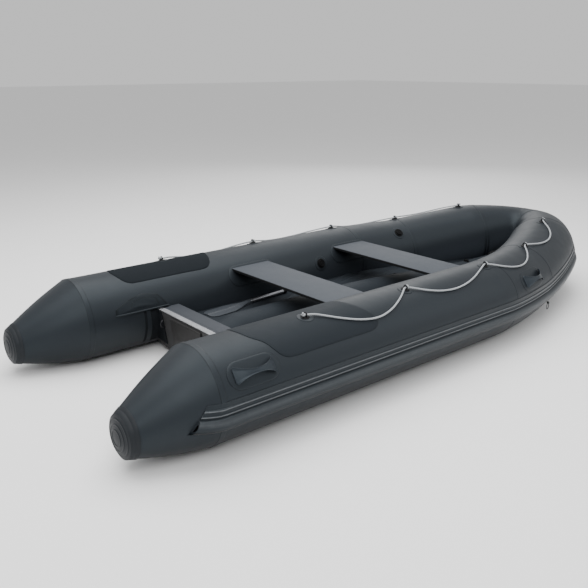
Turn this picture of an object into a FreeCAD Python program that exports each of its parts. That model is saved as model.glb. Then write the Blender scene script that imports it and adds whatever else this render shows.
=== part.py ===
"""Soft inflatable boat of the 4.4 m class: side tubes with stern cones, a curved bow tube, a ribbed rub
strake, a fabric bottom over an inflatable keel, a wooden transom, two bench seats, grab handles, lifelines
and two tow rings.

Frame: +X to the bow, +Y to port, +Z up. Millimetres. Lengths along the boat are first measured from the seam
between the stern cone and the side tube. At the end everything moves so that the origin is the bottom centre
of the boat. Everything on the starboard side (negative Y) is built once and mirrored to port.
"""
import FreeCAD, Part
import os
from math import asin, cos, degrees, hypot, pi, radians, sin, sqrt, tan

V = FreeCAD.Vector

# Side tubes
TUBE_R = 250.0              # radius of the inflated side tube
TUBE_Y = 668.0              # centre plane to tube axis
BOW_START = 2143.0          # where the straight tube ends
BOW_X = 3757.0              # axis of the nose tube on the centre plane
BOW_SHOULDER = 358.0        # length of the straight handle of the bow curve
BOW_FULLNESS = 372.0        # half width of the blunt nose handle of the bow curve
NOSE_R = 154.0              # radius of the tube at the nose
TAPER_START = 3440.0        # distance along the axis where the radius starts to shrink
SHEER = 146.0               # rise of the tube axis at the nose
SHEER_START = 2673.0        # distance along the axis where the rise starts
SEAM_T = 0.62               # curve parameter of the seam between bow quarter and nose tube

# Stern cones and their end caps
CONE_LENGTH = 375.0
CONE_TIP_R = 100.0
CONE_DROP = 75.0            # the tip's centre lies this far below the tube axis
CONE_SPLAY = 11.0           # and this far outboard
CONE_BULGE = 10.0           # how far the inflated cone swells past a straight cone, at mid length
CAP_COLLAR = 38.0           # width of the collar band round the cone's tip
CAP_COLLAR_T = 3.0
CAP_DOME = 20.0             # height of the domed end disc
CAP_RING_H = 3.0            # height of its raised rings
CAP_RING_W = 9.0
CAP_RINGS = (86.0, 62.0, 38.0)

SKIN_GAP = 0.3              # clearance under everything that is glued on the tubes
PATCH_T = 2.0               # reinforcement patch thickness
FITTING_LOW = SKIN_GAP + PATCH_T + SKIN_GAP   # underside of a fitting on its patch

# Rub strake, measured along the tube's skin from its upper edge
STRAKE_TOP = 12.0           # degrees above the widest line at its upper edge
STRAKE_BASE = 4.0
STRAKE_RIDGES = ((22.0, 14.0, 9.0), (46.0, 14.0, 9.0))   # start, width, height
STRAKE_FENDER = (64.0, 68.0, 30.0)                        # start, width, height
STRAKE_WIDTH = 138.0
STRAKE_AFT_TOP = -60.0      # aft end of its upper edge
STRAKE_AFT_LOW = -152.0     # aft end of its lower edge: the end is cut slanting
STRAKE_AFT_LIFT = 20.0      # how far the aft end rises above the level of the straight part
SINK = 4.0                  # depth to which fittings are drawn into the tube before the tube is cut away

# Bottom, keel and floor cloth
KEEL_R = 125.0
KEEL_CREST = 302.0          # height of the keel tube's crest
KEEL_TUCK = 30.0            # the crest drops by this much to pass under the transom's shelf
KEEL_END = 3080.0
KEEL_END_R = 87.0
KEEL_TAPER_X = 1600.0       # where it starts to taper and droop
KEEL_NOSE_CREST = 236.0
FLOOR_Z = 206.0             # height of the floor cloth
FLOOR_T = 6.0
FLOOR_DIP = 34.0            # how far the floor cloth lies lower in the bow
FLOOR_DIP_L = 900.0         # length over which it sinks
FLOOR_LIFT = 70.0           # how far it rises again to the nose
FLOOR_LIFT_X = 3350.0
FLOOR_LIFT_L = 400.0
HULL_CLEAR = 4.0            # keel line above the ground
HULL_RISE = 190.0           # how far the keel line rises to the nose
HULL_RISE_X = 2550.0        # where it starts to rise
HULL_EDGE = 16.0            # how far the bottom reaches under the tube before the tube is cut away
HULL_JOINT = 45.0           # degrees below the axis where the bottom cloth is glued to the side tube
HULL_JOINT_NOSE = 70.0

# Transom
TRANSOM_X = 443.0           # aft face at its top edge
TRANSOM_TOP = 291.0
TRANSOM_T = 36.0
TRANSOM_RAKE = 8.0          # degrees, lower edge further forward
STRIP_W = 53.0              # ribbed metal strip on the top edge
STRIP_T = 5.0
STRIP_RIBS = 6
SHELF_W = 92.0              # board along the inner top edge
SHELF_T = 14.0
PAD_PORT = 272.0            # clamp pad, port and starboard ends
PAD_STARBOARD = -58.0
PAD_DROP = 20.0             # top of the pad below the transom's top
PAD_H = 190.0
PAD_T = 12.0
FLANGE_W = 40.0             # fabric flange down each end of the transom
FLANGE_T = 6.0
EYE_IN = 6.0                # inboard of the flange's edge
EYE_DROP = 87.0
EYE_PITCH = 48.0
EYE_WIRE = 7.0
EYE_LEG = 3.0               # straight leg of the eye
CHINE_IN = 360.0            # the board's chine, inboard of the tube's axis
CHINE_Z = 18.0
# Cloth knee on the tube above each end of the transom: distance along the axis and angle of its corners
KNEE = ((167.0, 168.5), (172.0, 159.8), (252.0, 151.0), (357.0, 145.0), (457.0, 150.0), (480.0, 156.0),
        (516.0, 168.5))
KNEE_T = 3.0
HEM_W = 9.0                 # thick hem along the knee's lower edge
HEM_T = 12.0

# Bench seats
SEAT_X = (1041.0, 1955.0)   # aft edges
SEAT_W = 302.0
SEAT_T = 18.0
SEAT_TOP = 423.0
SEAT_PATCH = (392.0, 150.0)
SEAT_PATCH_ANGLE = 150.0
BRACKET_L = 150.0
BRACKET_H = 46.0
BRACKET_D = 30.0

# Dark wear patch over each tube, where a rider sits: distance along the axis and angle of its corners
WEAR_AFT = ((450.0, 35.0), (395.0, 38.0), (365.0, 45.0), (330.0, 60.0), (281.0, 73.0), (259.0, 88.0),
            (258.0, 102.0), (285.0, 119.0), (325.0, 126.0), (370.0, 127.0))
WEAR_AHEAD = ((850.0, 127.0), (905.0, 120.0), (938.0, 105.0), (964.0, 85.0), (996.0, 70.0), (1033.0, 55.0),
              (1040.0, 45.0), (1015.0, 38.0), (960.0, 35.0))

# Lifeline holders: distance along the tube axis and angle round from the outboard side
HOLDERS = ((650.0, 80.0), (1391.0, 78.0), (2145.0, 79.5), (2775.0, 82.0), (3375.0, 88.0))
HOLDER_PATCH_R = 44.0
HOLDER_BASE_R = 24.0
HOLDER_BASE_T = 5.0
HOLDER_BASE_SINK = 1.2
LOOP_WIRE = 7.0
LOOP_R = 12.0
ROPE_D = 10.0
KNOT_R = 12.0
KNOT_RAISE = 5.0            # knot above the rope's line
ROPE_LIFT = 15.0            # rope above the skin where it goes through a loop

# Lifeline route on the starboard side: distance along the tube axis, angle round from the outboard side and
# height of the rope's centre above the skin
LIFELINE = (
    (644.0, 80.0, ROPE_LIFT), (690.0, 78.6, ROPE_LIFT), (745.0, 70.5, 12.0), (830.0, 59.5, 10.5),
    (935.0, 50.5, 10.5), (1050.0, 46.5, 10.5), (1165.0, 51.5, 10.5), (1265.0, 61.5, 10.5),
    (1340.0, 71.5, 12.0), (1391.0, 79.5, ROPE_LIFT), (1440.0, 72.6, 12.5), (1508.0, 63.5, 10.5),
    (1602.0, 56.0, 10.5), (1715.0, 53.0, 10.5), (1835.0, 55.5, 10.5), (1945.0, 62.0, 10.5),
    (2040.0, 70.5, 11.0), (2100.0, 76.0, 13.0), (2145.0, 80.5, ROPE_LIFT), (2192.0, 74.3, 12.5),
    (2256.0, 64.5, 10.5), (2342.0, 56.5, 10.5), (2445.0, 53.5, 10.5), (2550.0, 58.0, 10.5),
    (2645.0, 67.5, 10.5), (2718.0, 75.8, 12.0), (2775.0, 83.0, ROPE_LIFT), (2828.0, 76.8, 12.5),
    (2898.0, 68.5, 10.5), (2988.0, 63.0, 10.5), (3083.0, 61.8, 10.5), (3175.0, 65.5, 10.5),
    (3258.0, 73.5, 11.0), (3322.0, 83.0, 13.5), (3381.0, 88.3, ROPE_LIFT))
BEND_SHARE = 0.45           # share of the shorter run that an arc takes up

# Carry handles: distance along the axis, angle
HANDLES = ((205.0, 34.0), (2463.0, 30.5))
HANDLE_L = 226.0
HANDLE_END_W = 92.0
HANDLE_MID_W = 34.0
HANDLE_RISE = 40.0
HANDLE_ARCH = 2.6           # how square the arch of a handle stands
HANDLE_SHAPE = (0.0, 0.38, 0.62, 0.80, 0.93, 1.0)   # share of the half length at each section
HANDLE_T = 7.0
HANDLE_PATCH = (292.0, 136.0)

# Inflation valves
VALVES = ((1790.0, 160.0), (2660.0, 131.0))
VALVE_R = 34.0
VALVE_H = 7.0
VALVE_PATCH_R = 54.0

# Inflation valve on the keel tube's port shoulder and relief valve on its crest: place, degrees from upright
KEEL_VALVES = ((2200.0, 48.0), (2935.0, 0.0))
KEEL_VALVE_R = 17.0
KEEL_VALVE_H = 14.0
KEEL_VALVE_RIM = (22.0, 6.0)
KEEL_VALVE_SINK = 3.0

# Tow rings under the bow quarters
RING_RUN = 2845.0
RING_ANGLE = -38.0
RING_R = 24.0
RING_WIRE = 5.0
RING_STRAP_W = 14.0
RING_STRAP_T = 2.5          # webbing round the ring
RING_PLAY = 2.0             # free space round the ring's wire in the fold
RING_STAND = 16.0           # pivot above the skin
RING_FOOT = (46.0, 34.0)

# Paddles stowed on the floor
PADDLE_BLADE_L = 360.0
PADDLE_BLADE_W = 130.0
PADDLE_SHAFT_D = 28.0
PADDLE_SHAFT_L = 290.0
PADDLE_END = (17.0, 26.0)   # radius and length of the socket
PADDLE_TIP = (0.72, 7.0)    # share of the width, and thickness, at the blade's tip
PADDLES = ((730.0, 318.0, 4.0), (560.0, -250.0, 3.0))   # blade tip's place and turn in plan


def ease(u):
    """Smooth start and end between 0 and 1."""
    u = min(max(u, 0.0), 1.0)
    return u * u * (3.0 - 2.0 * u)


# The bow curve in plan: a cubic that leaves the straight tube tangentially and crosses the centre plane square

def bow_plan(t):
    """Point and direction of the starboard bow curve in plan."""
    p = ((BOW_START, -TUBE_Y), (BOW_START + BOW_SHOULDER, -TUBE_Y), (BOW_X, -BOW_FULLNESS), (BOW_X, 0.0))
    a = (1 - t) ** 3, 3 * (1 - t) ** 2 * t, 3 * (1 - t) * t * t, t ** 3
    d = -3 * (1 - t) ** 2, 3 * (1 - t) ** 2 - 6 * (1 - t) * t, 6 * (1 - t) * t - 3 * t * t, 3 * t * t
    x, y = (sum(w * q[k] for w, q in zip(a, p)) for k in (0, 1))
    dx, dy = (sum(w * q[k] for w, q in zip(d, p)) for k in (0, 1))
    return x, y, dx, dy


STEPS = 200
RUNS = [BOW_START]
for i in range(STEPS):
    x_a, y_a = bow_plan(i / STEPS)[:2]
    x_b, y_b = bow_plan((i + 1) / STEPS)[:2]
    RUNS.append(RUNS[-1] + hypot(x_b - x_a, y_b - y_a))
BOW_RUN = RUNS[-1]


def run_at(t):
    """Distance along the axis at a parameter of the bow curve."""
    k = min(int(t * STEPS), STEPS - 1)
    return RUNS[k] + (RUNS[k + 1] - RUNS[k]) * (t * STEPS - k)


def bow_t(run):
    """Parameter of the bow curve at a distance along the axis."""
    for k in range(STEPS):
        if run <= RUNS[k + 1]:
            return (k + (run - RUNS[k]) / (RUNS[k + 1] - RUNS[k])) / STEPS
    return 1.0


def rise(run):
    u = max(0.0, (run - SHEER_START) / (BOW_RUN - SHEER_START))
    return SHEER * u ** 1.25


def radius(run):
    u = max(0.0, (run - TAPER_START) / (BOW_RUN - TAPER_START))
    return TUBE_R + (NOSE_R - TUBE_R) * u ** 1.2


class Station:
    """A cross-section of the starboard tube: centre, outboard and upward directions, radius."""

    def __init__(self, centre, out, up, r):
        self.centre = centre
        self.out = out
        self.up = up
        self.r = r

    def at(self, angle, height=0.0):
        """Point on the skin at an angle from the outboard side, raised by a height."""
        a = radians(angle)
        return self.centre + (self.out * cos(a) + self.up * sin(a)) * (self.r + height)

    def normal(self, angle):
        a = radians(angle)
        return self.out * cos(a) + self.up * sin(a)

    def round_dir(self, angle):
        """Direction round the skin towards larger angles."""
        a = radians(angle)
        return self.up * cos(a) - self.out * sin(a)

    def ahead(self):
        d = self.out.cross(self.up)
        return d * (-1.0 if d.x < 0 or (abs(d.x) < 1e-9 and d.y < 0) else 1.0)

    def circle(self, grow=0.0):
        c = Part.makeCircle(self.r + grow)
        w = Part.Wire([c])
        w.Placement = self.placement()
        return w

    def placement(self):
        z = self.out.cross(self.up)
        m = FreeCAD.Matrix(self.out.x, self.up.x, z.x, self.centre.x,
                           self.out.y, self.up.y, z.y, self.centre.y,
                           self.out.z, self.up.z, z.z, self.centre.z,
                           0, 0, 0, 1)
        return FreeCAD.Placement(m)


def station(run):
    """The tube's cross-section at a distance along its axis, from the cone's tip to the nose."""
    if run < 0:
        u = -run / CONE_LENGTH
        r = TUBE_R + (CONE_TIP_R - TUBE_R) * u + CONE_BULGE * sin(pi * min(u, 1.0))
        centre = V(run, -TUBE_Y - CONE_SPLAY * u, TUBE_R - CONE_DROP * u)
        return Station(centre, V(0, -1, 0), V(0, 0, 1), r)
    if run <= BOW_START:
        return Station(V(run, -TUBE_Y, TUBE_R), V(0, -1, 0), V(0, 0, 1), TUBE_R)
    x, y, dx, dy = bow_plan(bow_t(run))
    slope = (rise(run + 1.0) - rise(run - 1.0)) / 2.0
    if run > BOW_RUN - 2.0:
        slope = 0.0
    along = V(dx, dy, hypot(dx, dy) * slope).normalize()
    out = V(dy, -dx, 0).normalize()
    up = out.cross(along)
    if up.z < 0:
        up = up * -1.0
    return Station(V(x, y, TUBE_R + rise(run)), out, up, radius(run))


def mirror(shape):
    return shape.mirror(V(0, 0, 0), V(0, 1, 0))


def mirrored_station(run):
    s = station(run)
    flip = lambda v: V(v.x, -v.y, v.z)
    return Station(flip(s.centre), flip(s.out), flip(s.up), s.r)


def spaced(a, b, n):
    return [a + (b - a) * i / (n - 1) for i in range(n)]


QUARTER_END = run_at(SEAM_T)


def tube_loft(runs, grow=0.0, across=False):
    """Inflated tube through the cross-sections at the given runs; across goes on over the centre plane."""
    wires = [station(r).circle(grow) for r in runs]
    if across:
        for r in reversed(runs[:-1]):
            s = mirrored_station(r)
            w = Part.Wire([Part.makeCircle(s.r + grow)])
            z = s.up.cross(s.out)
            m = FreeCAD.Matrix(s.out.x, s.up.x, -z.x, s.centre.x, s.out.y, s.up.y, -z.y, s.centre.y,
                               s.out.z, s.up.z, -z.z, s.centre.z, 0, 0, 0, 1)
            w.Placement = FreeCAD.Placement(m)
            wires.append(w)
    return Part.makeLoft(wires, True, False)


def cone(grow=0.0, start=-CONE_LENGTH, end=0.0):
    return tube_loft(spaced(start, end, 5), grow)


def side_tube(grow=0.0):
    return Part.makeCylinder(TUBE_R + grow, BOW_START, V(0, -TUBE_Y, TUBE_R), V(1, 0, 0))


def bow_quarter(grow=0.0):
    return tube_loft(spaced(BOW_START, QUARTER_END, 12), grow)


def bow_nose(grow=0.0):
    return tube_loft(spaced(QUARTER_END, BOW_RUN, 6), grow, across=True)


GROWN = {}


def tubes(grow):
    """The pieces of the starboard tube, grown by a clearance."""
    if grow not in GROWN:
        GROWN[grow] = (cone(grow), side_tube(grow), bow_quarter(grow), bow_nose(grow))
    return GROWN[grow]


def clear_of_tube(shape, grow=SKIN_GAP):
    """Cut the starboard tube and its clearance away from a shape."""
    for tube in tubes(grow):
        if tube.BoundBox.intersect(shape.BoundBox):
            shape = shape.cut(tube)
    return shape


def clear_of_tubes(shape, grow=SKIN_GAP):
    """The same for the tubes on both sides."""
    return mirror(clear_of_tube(mirror(clear_of_tube(shape, grow)), grow))


def sector(s, angle, width, low, high):
    """Closed wire on a tube's cross-section: a piece of ring centred on an angle, width along the skin."""
    half = degrees(width / 2.0 / s.r)
    pts = [s.at(angle + k * half, h) for h in (low, high) for k in (-1, 0, 1)]
    return Part.Wire([
        Part.Arc(pts[0], pts[1], pts[2]).toShape(),
        Part.LineSegment(pts[2], pts[5]).toShape(),
        Part.Arc(pts[5], pts[4], pts[3]).toShape(),
        Part.LineSegment(pts[3], pts[0]).toShape()])


def patch(run, angle, outline, low=SKIN_GAP, high=SKIN_GAP + PATCH_T, depth=140.0):
    """A thin pad that follows the tube, cut to an outline face drawn in the plane of the skin."""
    s = station(run)
    n = s.normal(angle)
    u = s.ahead()
    v = n.cross(u)
    m = FreeCAD.Matrix(u.x, v.x, n.x, 0, u.y, v.y, n.y, 0, u.z, v.z, n.z, 0, 0, 0, 0, 1)
    pl = FreeCAD.Placement(m)
    pl.Base = s.at(angle, -depth / 2.0)
    prism = outline.extrude(V(0, 0, depth))
    prism.Placement = pl
    layers = [prism.common(t) for t in tubes(high) if t.BoundBox.intersect(prism.BoundBox)]
    layers = [x for x in layers if x.Volume > 1.0]
    layer = layers[0].multiFuse(layers[1:]) if layers[1:] else layers[0]
    return largest(clear_of_tube(layer, low))


def flat(rows, mid_run, mid):
    """Outline points in the plane of the skin, from their distances along the side tube and their angles."""
    return [V(r - mid_run, TUBE_R * sin(radians(a - mid)), 0) for r, a in rows]


def disc(r):
    return Part.Face(Part.Wire([Part.makeCircle(r)]))


def slot_face(length, width):
    """A stadium outline."""
    a = (length - width) / 2.0
    r = width / 2.0
    edges = [Part.LineSegment(V(-a, -r, 0), V(a, -r, 0)).toShape(),
             Part.Arc(V(a, -r, 0), V(a + r, 0, 0), V(a, r, 0)).toShape(),
             Part.LineSegment(V(a, r, 0), V(-a, r, 0)).toShape(),
             Part.Arc(V(-a, r, 0), V(-a - r, 0, 0), V(-a, -r, 0)).toShape()]
    return Part.Face(Part.Wire(edges))


def cap():
    """Moulded end cap: collar band on the cone and a domed disc with raised rings."""
    x = -CONE_LENGTH
    collar = cone(SKIN_GAP + CAP_COLLAR_T, x, x + CAP_COLLAR).cut(cone(SKIN_GAP, x, x + CAP_COLLAR))
    rim = CONE_TIP_R + SKIN_GAP + CAP_COLLAR_T
    pts = [V(0, 0, 0), V(0, 0, CAP_DOME)]
    dome_r = (rim * rim + CAP_DOME * CAP_DOME) / (2 * CAP_DOME)
    top = lambda r: sqrt(dome_r * dome_r - r * r) - dome_r + CAP_DOME
    edges = [Part.LineSegment(pts[0], pts[1]).toShape(),
             Part.Arc(V(0, 0, CAP_DOME), V(rim * 0.6, 0, top(rim * 0.6)), V(rim, 0, top(rim))).toShape(),
             Part.LineSegment(V(rim, 0, 0), V(0, 0, 0)).toShape()]
    dome = Part.Face(Part.Wire(edges)).revolve(V(0, 0, 0), V(0, 0, 1), 360)
    for r in CAP_RINGS:
        torus = Part.makeTorus(r, CAP_RING_W / 2.0, V(0, 0, top(r) - CAP_RING_W / 2.0 + CAP_RING_H), V(0, 0, 1))
        dome = dome.fuse(torus)
    dome.rotate(V(0, 0, 0), V(0, 1, 0), -90)
    dome.translate(station(x).centre)
    return dome.fuse(collar)


def strake_top(run):
    """Angle of the strake's upper edge: level along the side, lifted where it goes over the cone."""
    if run >= 0:
        return STRAKE_TOP
    s = station(run)
    level = TUBE_R + TUBE_R * sin(radians(STRAKE_TOP) - STRAKE_WIDTH / 2.0 / TUBE_R)
    level += STRAKE_AFT_LIFT * (run / STRAKE_AFT_LOW) ** 2
    return degrees(asin((level - s.centre.z) / s.r) + STRAKE_WIDTH / 2.0 / s.r)


def strake_wire(run, low=SKIN_GAP):
    """Cross-section of the rub strake on the tube: two ridges and a round fender on a flat band."""
    s = station(run)
    top = strake_top(run)
    per_mm = degrees(1.0 / s.r)
    p = lambda d, h: s.at(top - d * per_mm, h)
    edges = [Part.Arc(p(0, low), p(STRAKE_WIDTH / 2, low), p(STRAKE_WIDTH, low)).toShape(),
             Part.LineSegment(p(STRAKE_WIDTH, low), p(STRAKE_WIDTH, STRAKE_BASE)).toShape()]
    here = STRAKE_WIDTH
    bumps = list(STRAKE_RIDGES) + [STRAKE_FENDER]
    for start, width, height in reversed(bumps):
        edges.append(Part.LineSegment(p(here, STRAKE_BASE), p(start + width, STRAKE_BASE)).toShape())
        edges.append(Part.Arc(p(start + width, STRAKE_BASE), p(start + width / 2, height),
                              p(start, STRAKE_BASE)).toShape())
        here = start
    edges.append(Part.LineSegment(p(here, STRAKE_BASE), p(0, STRAKE_BASE)).toShape())
    edges.append(Part.LineSegment(p(0, STRAKE_BASE), p(0, low)).toShape())
    return Part.Wire(edges)


def strake_side():
    """The strake along the side tube, ending in a slanting cut on the cone."""
    straight = Part.Face(strake_wire(0.0)).extrude(V(BOW_START, 0, 0))
    aft = Part.makeLoft([strake_wire(r, -SINK) for r in spaced(STRAKE_AFT_LOW - 60.0, 0.0, 6)], True, False)
    z_top = TUBE_R + 80.0
    z_low = TUBE_R - 120.0
    slope = (STRAKE_AFT_TOP - STRAKE_AFT_LOW) / STRAKE_WIDTH
    x_top = STRAKE_AFT_TOP + slope * (z_top - TUBE_R - TUBE_R * sin(radians(STRAKE_TOP)))
    x_low = x_top - slope * (z_top - z_low)
    pts = [V(x_top, 0, z_top), V(x_low, 0, z_low), V(-CONE_LENGTH, 0, z_low), V(-CONE_LENGTH, 0, z_top)]
    knife = Part.Face(Part.makePolygon(pts + pts[:1])).extrude(V(0, -2 * TUBE_Y, 0))
    return largest(clear_of_tube(aft.cut(knife)).fuse(straight))


def strake_bow():
    runs = spaced(BOW_START, BOW_RUN, 13)
    return largest(clear_of_tube(Part.makeLoft([strake_wire(r, -SINK) for r in runs], True, False)))


def hull_joint(run):
    """Point where the bottom cloth meets the starboard tube."""
    s = station(run)
    u = ease((run - BOW_START) / (BOW_RUN - BOW_START))
    return s.at(180.0 + HULL_JOINT + (HULL_JOINT_NOSE - HULL_JOINT) * u)


def floor_z(x):
    """Height of the floor cloth: it dips in the bow and rises to the nose."""
    dip = FLOOR_DIP * ease((x - BOW_START) / FLOOR_DIP_L)
    lift = FLOOR_LIFT * ease((x - FLOOR_LIFT_X) / FLOOR_LIFT_L)
    return FLOOR_Z - dip + lift


def keel_z(x):
    """Height of the keel line of the bottom."""
    u = max(0.0, (x - HULL_RISE_X) / (BOW_X - HULL_RISE_X))
    return HULL_CLEAR + HULL_RISE * u ** 1.8


BOTTOM_RUNS = [BOW_START] + spaced(BOW_START + 170.0, BOW_RUN - 60.0, 9)


def bottom_stations():
    """Half width, joint height and place of the bottom's cross-sections."""
    rows = [(TRANSOM_X + TRANSOM_T, -hull_joint(BOW_START).y, hull_joint(BOW_START).z)]
    for r in BOTTOM_RUNS:
        j = hull_joint(r)
        rows.append((j.x, -j.y, j.z))
    return rows


def ahead_of_transom(shape):
    """Cut a shape along the raked inner face of the transom."""
    start = TRANSOM_X + TRANSOM_T + SKIN_GAP
    knife = Part.makeBox(200.0, 4 * TUBE_Y, 2 * TUBE_R, V(start - 200.0, -2 * TUBE_Y, -50.0))
    return shape.cut(raked(knife))


def keel_section(x):
    """Radius and centre height of the keel tube."""
    u = ease((x - KEEL_TAPER_X) / (KEEL_END - KEEL_TAPER_X))
    tuck = KEEL_TUCK * (1.0 - ease((x - TRANSOM_X - STRIP_W - SHELF_W - 5.0) / 140.0))
    r = KEEL_R + (KEEL_END_R - KEEL_R) * u
    return r, KEEL_CREST - tuck + (KEEL_NOSE_CREST - KEEL_CREST) * u - r


def keel_valve(x, lean):
    """Valve standing on the keel tube."""
    r, z = keel_section(x)
    a = radians(lean)
    n = V(0, sin(a), cos(a))
    seat_h = r + SKIN_GAP
    foot = V(x, 0, z) + n * (seat_h - KEEL_VALVE_SINK)
    body = Part.makeCylinder(KEEL_VALVE_R, KEEL_VALVE_H, foot, n)
    rim = Part.makeCylinder(*KEEL_VALVE_RIM, foot, n)
    return largest(body.fuse(rim).cut(keel_tube(SKIN_GAP)))


def keel_tube(grow=0.0):
    """Inflatable keel under the floor, drooping and tapering to the bow."""
    wires = []
    shelf_end = TRANSOM_X + STRIP_W + SHELF_W
    tucked = [shelf_end + 30.0 * k for k in range(6)]
    ahead = [900.0, 1200.0, KEEL_TAPER_X, BOW_START, 2400.0, 2700.0, KEEL_END + grow]
    for x in [TRANSOM_X, TRANSOM_X + 70.0] + tucked + ahead:
        r, z = keel_section(x)
        w = Part.Wire([Part.makeCircle(r + grow, V(0, 0, 0), V(1, 0, 0))])
        w.translate(V(x, 0, z))
        wires.append(w)
    return ahead_of_transom(Part.makeLoft(wires, True, False))


def hull_bottom():
    """Shallow V bottom, from the transom to the nose, between the tubes."""
    wires = []
    for x, y, z in bottom_stations():
        k = keel_z(x)
        top = floor_z(x) - FLOOR_T
        z = min(z, top - 12.0)
        y_in = y + HULL_EDGE
        mid = k + (z - k) * 0.16
        spline = Part.BSplineCurve()
        spline.interpolate([V(x, -y_in, z), V(x, -y * 0.62, mid), V(x, 0, k),
                            V(x, y * 0.62, mid), V(x, y_in, z)])
        wires.append(Part.Wire([spline.toShape(),
                                Part.LineSegment(V(x, y_in, z), V(x, y_in, top)).toShape(),
                                Part.LineSegment(V(x, y_in, top), V(x, -y_in, top)).toShape(),
                                Part.LineSegment(V(x, -y_in, top), V(x, -y_in, z)).toShape()]))
    body = ahead_of_transom(clear_of_tubes(Part.makeLoft(wires, True, True)))
    return largest(body.cut(keel_tube(SKIN_GAP)))


def floor_cloth():
    """Floor cloth on each side of the keel."""
    wires = []
    for x, y, z in bottom_stations():
        top = floor_z(x)
        y_in = y + HULL_EDGE
        pts = [V(x, -y_in, top - FLOOR_T), V(x, y_in, top - FLOOR_T), V(x, y_in, top), V(x, -y_in, top)]
        wires.append(Part.makePolygon(pts + pts[:1]))
    body = ahead_of_transom(clear_of_tubes(Part.makeLoft(wires, True, True))).cut(keel_tube(SKIN_GAP))
    return Part.Compound([s for s in body.Solids if s.Volume > 1e5])


def largest(shape):
    return max(shape.Solids, key=lambda s: s.Volume)


def raked(shape):
    """Turn a piece drawn upright about the transom's top aft edge."""
    shape.rotate(V(TRANSOM_X, 0, TRANSOM_TOP), V(0, 1, 0), -TRANSOM_RAKE)
    return shape


def transom_board():
    """Plywood board between the tubes, V-shaped below."""
    half = TUBE_Y
    low = keel_z(0) + 6.0
    inner_z = CHINE_Z + (CHINE_IN - TUBE_R) * 0.5
    chine = TUBE_Y - CHINE_IN
    pts = [V(TRANSOM_X, -half, TRANSOM_TOP + 20.0), V(TRANSOM_X, -half, inner_z), V(TRANSOM_X, -chine, CHINE_Z),
           V(TRANSOM_X, 0, low), V(TRANSOM_X, chine, CHINE_Z), V(TRANSOM_X, half, inner_z),
           V(TRANSOM_X, half, TRANSOM_TOP + 20.0)]
    board = raked(Part.Face(Part.makePolygon(pts + pts[:1])).extrude(V(TRANSOM_T, 0, 0)))
    above = Part.makeBox(4 * TRANSOM_T, 4 * TUBE_Y, 100.0,
                         V(TRANSOM_X - 2 * TRANSOM_T, -2 * TUBE_Y, TRANSOM_TOP - STRIP_T))
    return largest(clear_of_tubes(board.cut(above)))


def top_strip():
    """Ribbed metal strip along the transom's top edge."""
    body = Part.makeBox(STRIP_W, 2 * TUBE_Y, STRIP_T - 1.5, V(TRANSOM_X, -TUBE_Y, TRANSOM_TOP - STRIP_T))
    pitch = STRIP_W / STRIP_RIBS
    for i in range(STRIP_RIBS):
        rib_x = TRANSOM_X + pitch * (i + 0.25)
        rib = Part.makeBox(pitch * 0.5, 2 * TUBE_Y, 1.5, V(rib_x, -TUBE_Y, TRANSOM_TOP - 1.5))
        body = body.fuse(rib)
    return largest(clear_of_tubes(body))


def shelf():
    """Board along the inner side of the transom's top edge."""
    under = Part.makeBox(STRIP_W, 2 * TUBE_Y, SHELF_T - STRIP_T, V(TRANSOM_X, -TUBE_Y, TRANSOM_TOP - SHELF_T))
    body = Part.makeBox(SHELF_W, 2 * TUBE_Y, SHELF_T, V(TRANSOM_X + STRIP_W, -TUBE_Y, TRANSOM_TOP - SHELF_T))
    return largest(ahead_of_transom(clear_of_tubes(body.fuse(under))))


def clamp_pad():
    width = PAD_PORT - PAD_STARBOARD
    corner = V(TRANSOM_X - PAD_T, PAD_STARBOARD, TRANSOM_TOP - PAD_DROP - PAD_H)
    return raked(Part.makeBox(PAD_T, width, PAD_H, corner))


def flange(side):
    """Fabric flange on the aft face at one end of the transom."""
    x = TRANSOM_X - FLANGE_T
    y_in = TUBE_Y - TUBE_R - FLANGE_W
    pts = [V(x, -y_in, TRANSOM_TOP - 12.0), V(x, -TUBE_Y, TRANSOM_TOP - 12.0),
           V(x, -TUBE_Y, 90.0), V(x, -y_in, 62.0)]
    body = raked(Part.Face(Part.makePolygon(pts + pts[:1])).extrude(V(FLANGE_T, 0, 0)))
    body = largest(clear_of_tube(body))
    return body if side < 0 else mirror(body)


def knee(side):
    """Fabric knee on the tube over the transom's end, with a thick hem along its lower edge."""
    first, last = KNEE[0], KNEE[-1]
    mid_run = (first[0] + last[0]) / 2.0
    mid = (first[1] + min(a for _, a in KNEE)) / 2.0
    outline = Part.Face(Part.makePolygon(flat(KNEE + KNEE[:1], mid_run, mid)))
    flap = patch(mid_run, mid, outline, SKIN_GAP, SKIN_GAP + KNEE_T)
    hem = Part.Face(sector(station(first[0]), first[1], HEM_W, SKIN_GAP, HEM_T))
    hem = hem.extrude(V(last[0] - first[0], 0, 0))
    body = largest(flap.fuse(hem))
    return body if side < 0 else mirror(body)


def eye(side):
    """Wire eye on the transom's aft face."""
    z_mid = TRANSOM_TOP - EYE_DROP
    r = EYE_PITCH / 2.0
    low = V(-EYE_LEG, 0, -r)
    high = V(-EYE_LEG, 0, r)
    path = Part.Wire([Part.LineSegment(V(0, 0, -r), low).toShape(),
                      Part.Arc(low, V(-EYE_LEG - r, 0, 0), high).toShape(),
                      Part.LineSegment(high, V(0, 0, r)).toShape()])
    section = Part.Wire([Part.makeCircle(EYE_WIRE / 2.0, V(0, 0, -r), V(1, 0, 0))])
    body = path.makePipeShell([section], True, False)
    body.translate(V(TRANSOM_X, side * (TUBE_Y - TUBE_R - FLANGE_W - EYE_IN), z_mid))
    return raked(body)


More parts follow.
